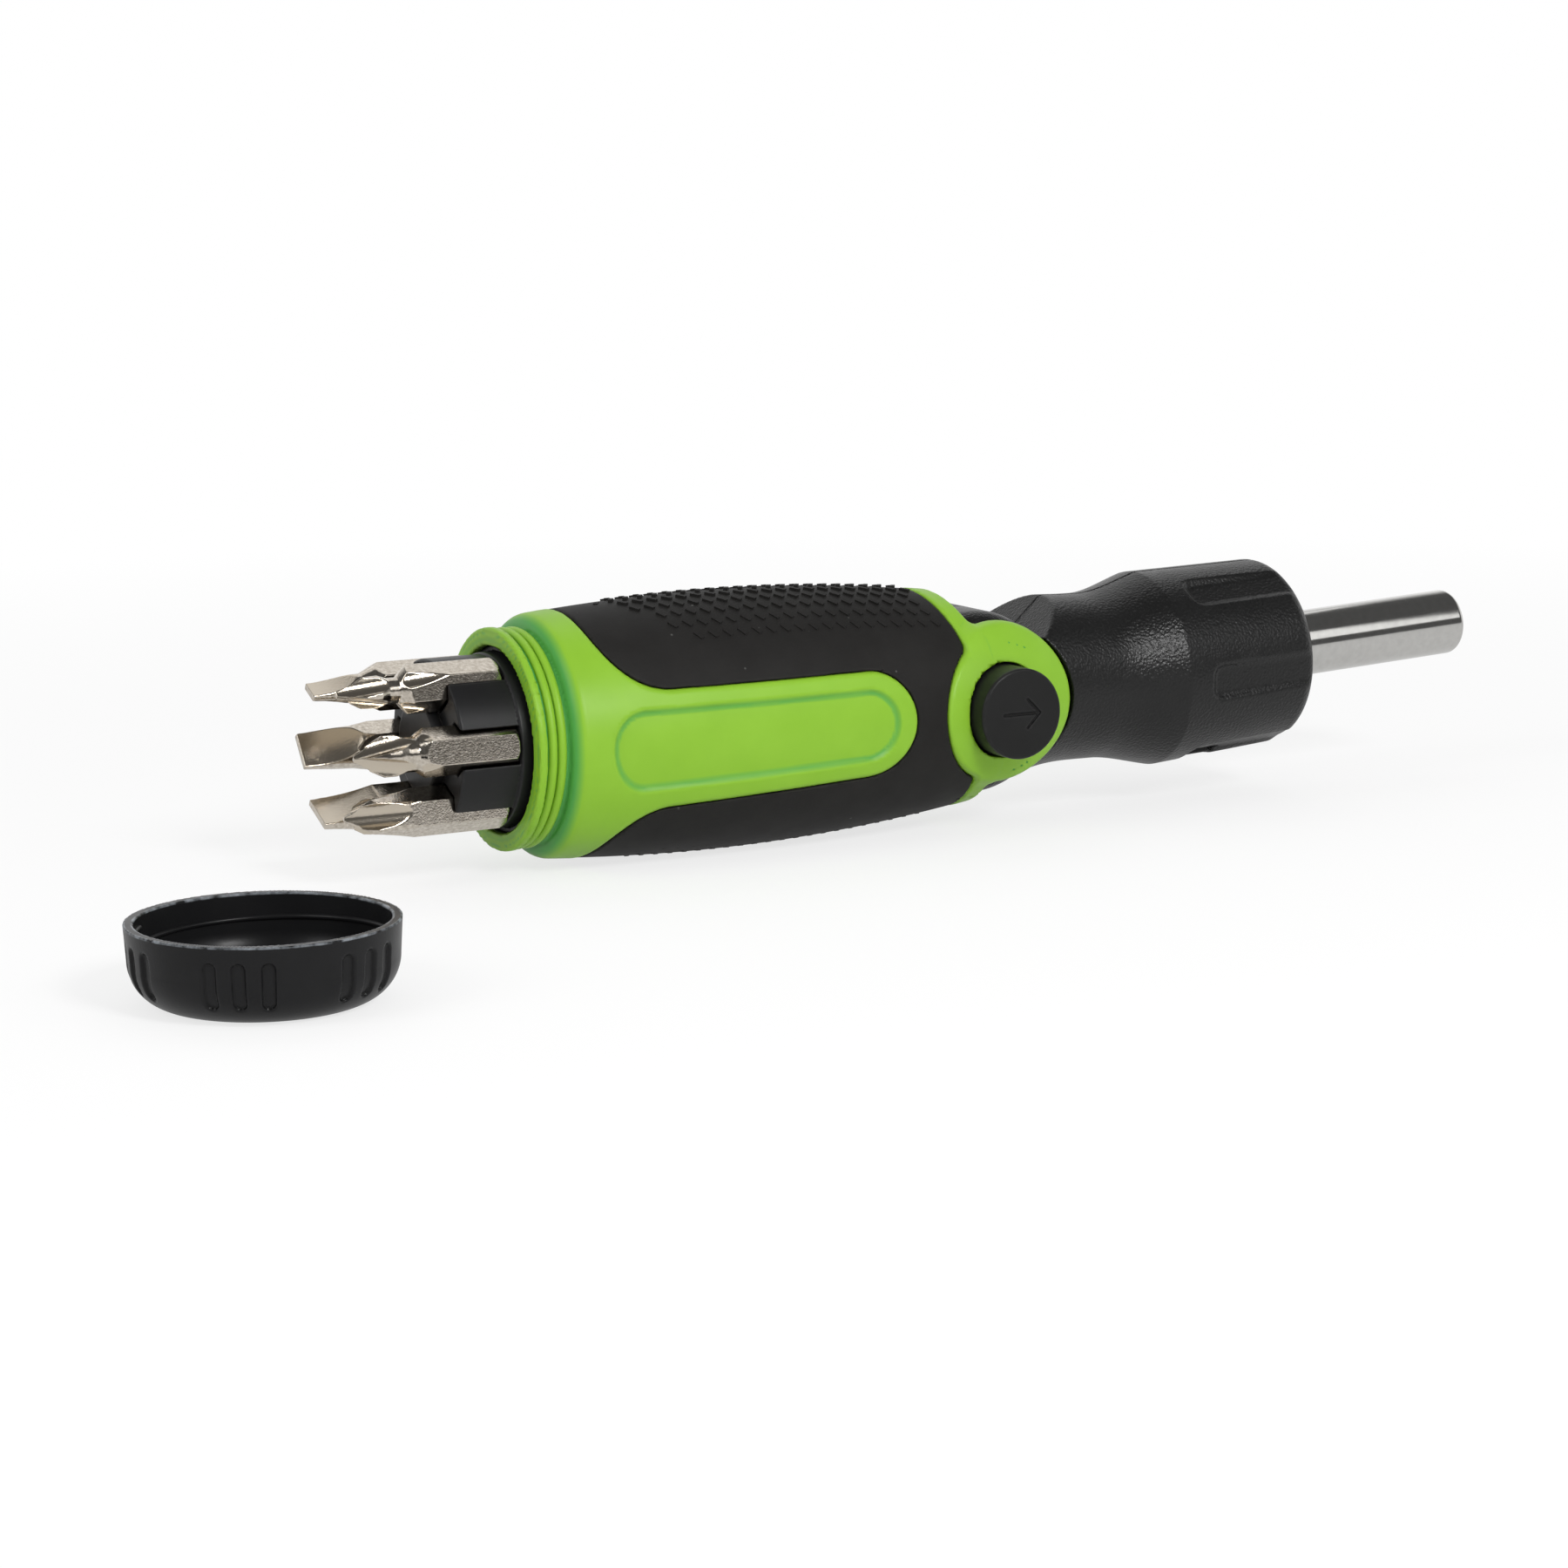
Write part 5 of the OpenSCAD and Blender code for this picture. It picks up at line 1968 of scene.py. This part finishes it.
@dataclass(frozen=True)
class View:
    """Camera at the photograph's viewing angle.

    Attributes:
        azimuth: Turn of the camera round the tool, in degrees.
        elevation: Height of the camera above the tool's level, in degrees.
        roll: Turn of the camera about its own axis, in degrees.
        depth: Distance of the pivot in front of the camera, in millimetres.
        focal_px: Focal length in pixels of the photograph.
        pivot_px: Where the pivot is seen, in pixels of the photograph.
        frame_px: Side of the photograph in pixels.
        sensor: Width of the camera's sensor in millimetres.
        near_clip: Nearest distance that is shown, in metres.
    """

    azimuth: float = 28.55
    elevation: float = 10.06
    roll: float = 0.57
    depth: float = 613.26
    focal_px: float = 4443.0
    pivot_px: tuple[float, float] = (1091.1, 799.3)
    frame_px: float = 1800.0
    sensor: float = 36.0
    near_clip: float = 0.01

    def axes(self) -> tuple[Vector, Vector, Vector]:
        """Works out the camera's directions.

        Returns:
            Its right, up and forward directions.
        """
        a, e, r = (math.radians(v) for v in (self.azimuth, self.elevation, self.roll))
        forward = Vector((math.sin(a) * math.cos(e), math.cos(a) * math.cos(e), -math.sin(e)))
        level = Vector((math.cos(a), -math.sin(a), 0.0))
        upright = level.cross(forward)
        right = level * math.cos(r) - upright * math.sin(r)
        return right, upright * math.cos(r) + level * math.sin(r), forward

    def build(self) -> None:
        """Makes the scene's camera."""
        right, up, forward = self.axes()
        across = (self.pivot_px[0] - self.frame_px / 2) / self.focal_px * self.depth
        above = (self.frame_px / 2 - self.pivot_px[1]) / self.focal_px * self.depth
        spot = PIVOT - (right * across + up * above + forward * self.depth) * MM
        data = bpy.data.cameras.new("photo_view")
        data.sensor_width = self.sensor
        data.lens = self.sensor * self.focal_px / self.frame_px
        data.clip_start = self.near_clip
        camera = bpy.data.objects.new("photo_view", data)
        camera.matrix_world = Matrix.Translation(spot) @ Matrix((right, up, -forward)).transposed().to_4x4()
        bpy.context.scene.collection.objects.link(camera)
        bpy.context.scene.camera = camera


@dataclass(frozen=True)
class Lamp:
    """Soft rectangular lamp, placed from the middle of the tool in metres."""

    name: str
    at: tuple[float, float, float]
    size: tuple[float, float]
    watts: float

    def build(self) -> None:
        """Makes the lamp, facing the tool."""
        data = bpy.data.lights.new(self.name, "AREA")
        data.shape = "RECTANGLE"
        data.size, data.size_y = self.size
        data.energy = self.watts
        lamp = bpy.data.objects.new(self.name, data)
        lamp.location = self.at
        lamp.rotation_euler = (-Vector(self.at)).to_track_quat("-Z", "Y").to_euler()
        bpy.context.scene.collection.objects.link(lamp)


@dataclass(frozen=True)
class Studio:
    """White table and soft light."""

    lamps: tuple[Lamp, ...] = (
        Lamp("key_lamp", (0.05, -0.67, 0.46), (0.2, 0.19), 3.5),
        Lamp("fill_lamp", (0.42, -0.68, 0.42), (0.5, 0.36), 0.7),
        Lamp("side_lamp", (-0.75, -0.1, 0.45), (0.4, 0.5), 1.9),
        Lamp("back_lamp", (0.15, 0.6, 0.75), (1.0, 0.6), 1.6),
    )
    ambient: float = 0.5
    room: float = 0.1
    backdrop_way: tuple[float, float, float] = (0.48, 0.88, 0.0)
    backdrop_top: tuple[float, float] = (0.35, 0.65)
    backdrop_side: tuple[float, float] = (-0.1, 0.3)
    floor_reach: float = 3.0
    floor_white: float = 0.74
    shadow_reach: tuple[float, float] = (0.16, 0.45)
    table_front: tuple[float, float] = (-0.6, -0.35)
    table_shine: float = 0.72
    table_colour: tuple[float, float, float, float] = (0.9, 0.9, 0.9, 1.0)
    table_rough: float = 0.9

    @staticmethod
    def rays(w: Wiring) -> tuple[bpy.types.NodeSocket, bpy.types.NodeSocket]:
        """Returns masks of the rays that show the background: straight ones, and those that were mirrored."""
        path = w.add("ShaderNodeLightPath").outputs
        return path["Is Camera Ray"], w.math("MAXIMUM", path["Is Glossy Ray"], path["Is Transmission Ray"])

    def ahead(self, w: Wiring, way: bpy.types.NodeSocket) -> bpy.types.NodeSocket:
        """Returns how far a place or a direction lies towards the backdrop."""
        return w.add("ShaderNodeVectorMath", {0: way, 1: self.backdrop_way},
                     operation="DOT_PRODUCT").outputs["Value"]

    def world(self) -> None:
        """Makes a white surround with a dark room in front of the backdrop, which shows in reflections."""
        world = bpy.data.worlds.new("white_surround")
        world.use_nodes = True
        bpy.context.scene.world = world
        w = Wiring(world.node_tree)
        background = world.node_tree.nodes["Background"]
        background.inputs["Color"].default_value = WHITE
        way = w.add("ShaderNodeTexCoord").outputs["Generated"]
        rise = w.add("ShaderNodeSeparateXYZ", {0: way}).outputs["Z"]
        paper = w.math("MULTIPLY", w.remap(self.ahead(w, way), *self.backdrop_side),
                       w.remap(rise, *self.backdrop_top, 1.0, 0.0))
        straight, mirrored = self.rays(w)
        shown = w.remap(mirrored, 0.0, 1.0, self.ambient, w.remap(paper, 0.0, 1.0, self.room, 1.0))
        w.feed(background.inputs["Strength"], w.math("MAXIMUM", shown, straight))

    def floor(self) -> None:
        """Makes the white table, which keeps the tool's soft shadow."""
        d = self.floor_reach
        corners = np.array([(-d, -d, 0.0), (d, -d, 0.0), (d, d, 0.0), (-d, d, 0.0)])
        table = mesh_piece("table", corners, [(0, 1, 2, 3)])
        material = bpy.data.materials.new("white_table")
        material.use_nodes = True
        w = Wiring(material.node_tree)
        surface = material.node_tree.nodes["Principled BSDF"]
        surface.inputs["Base Color"].default_value = self.table_colour
        surface.inputs["Roughness"].default_value = self.table_rough
        at = w.spot()
        away = w.add("ShaderNodeVectorMath", {0: at}, operation="LENGTH").outputs["Value"]
        straight, mirrored = self.rays(w)
        lit = w.remap(self.ahead(w, at), *self.table_front, self.room, self.table_shine)
        level = w.math("MAXIMUM", straight, lit)
        glow = w.add("ShaderNodeEmission", {"Color": WHITE, "Strength": level})
        shown = w.math("MAXIMUM", straight, mirrored)
        share = w.math("MULTIPLY", shown, w.remap(away, *self.shadow_reach, self.floor_white))
        mix = w.add("ShaderNodeMixShader", {0: share, 1: surface.outputs[0], 2: glow.outputs[0]})
        w.feed(material.node_tree.nodes["Material Output"].inputs["Surface"], mix.outputs[0])
        table.data.materials.append(material)

    def build(self) -> None:
        """Makes the surround, the table and the lamps."""
        bpy.context.scene.view_settings.view_transform = "Standard"
        self.world()
        self.floor()
        for lamp in self.lamps:
            lamp.build()


def main() -> None:
    """Builds the camera, the studio and each sub-assembly in order."""
    logging.basicConfig(level=logging.INFO, format="%(name)s: %(message)s")
    View().build()
    Studio().build()
    shop = Workshop()
    shop.coat_solids()
    for assembly in (Handle(), Barrel(), PivotTrim(), Shaft(), Carrier(), Cap()):
        LOG.info("building %s", type(assembly).__name__)
        assembly.build(shop)


if __name__ == "__main__":
    main()
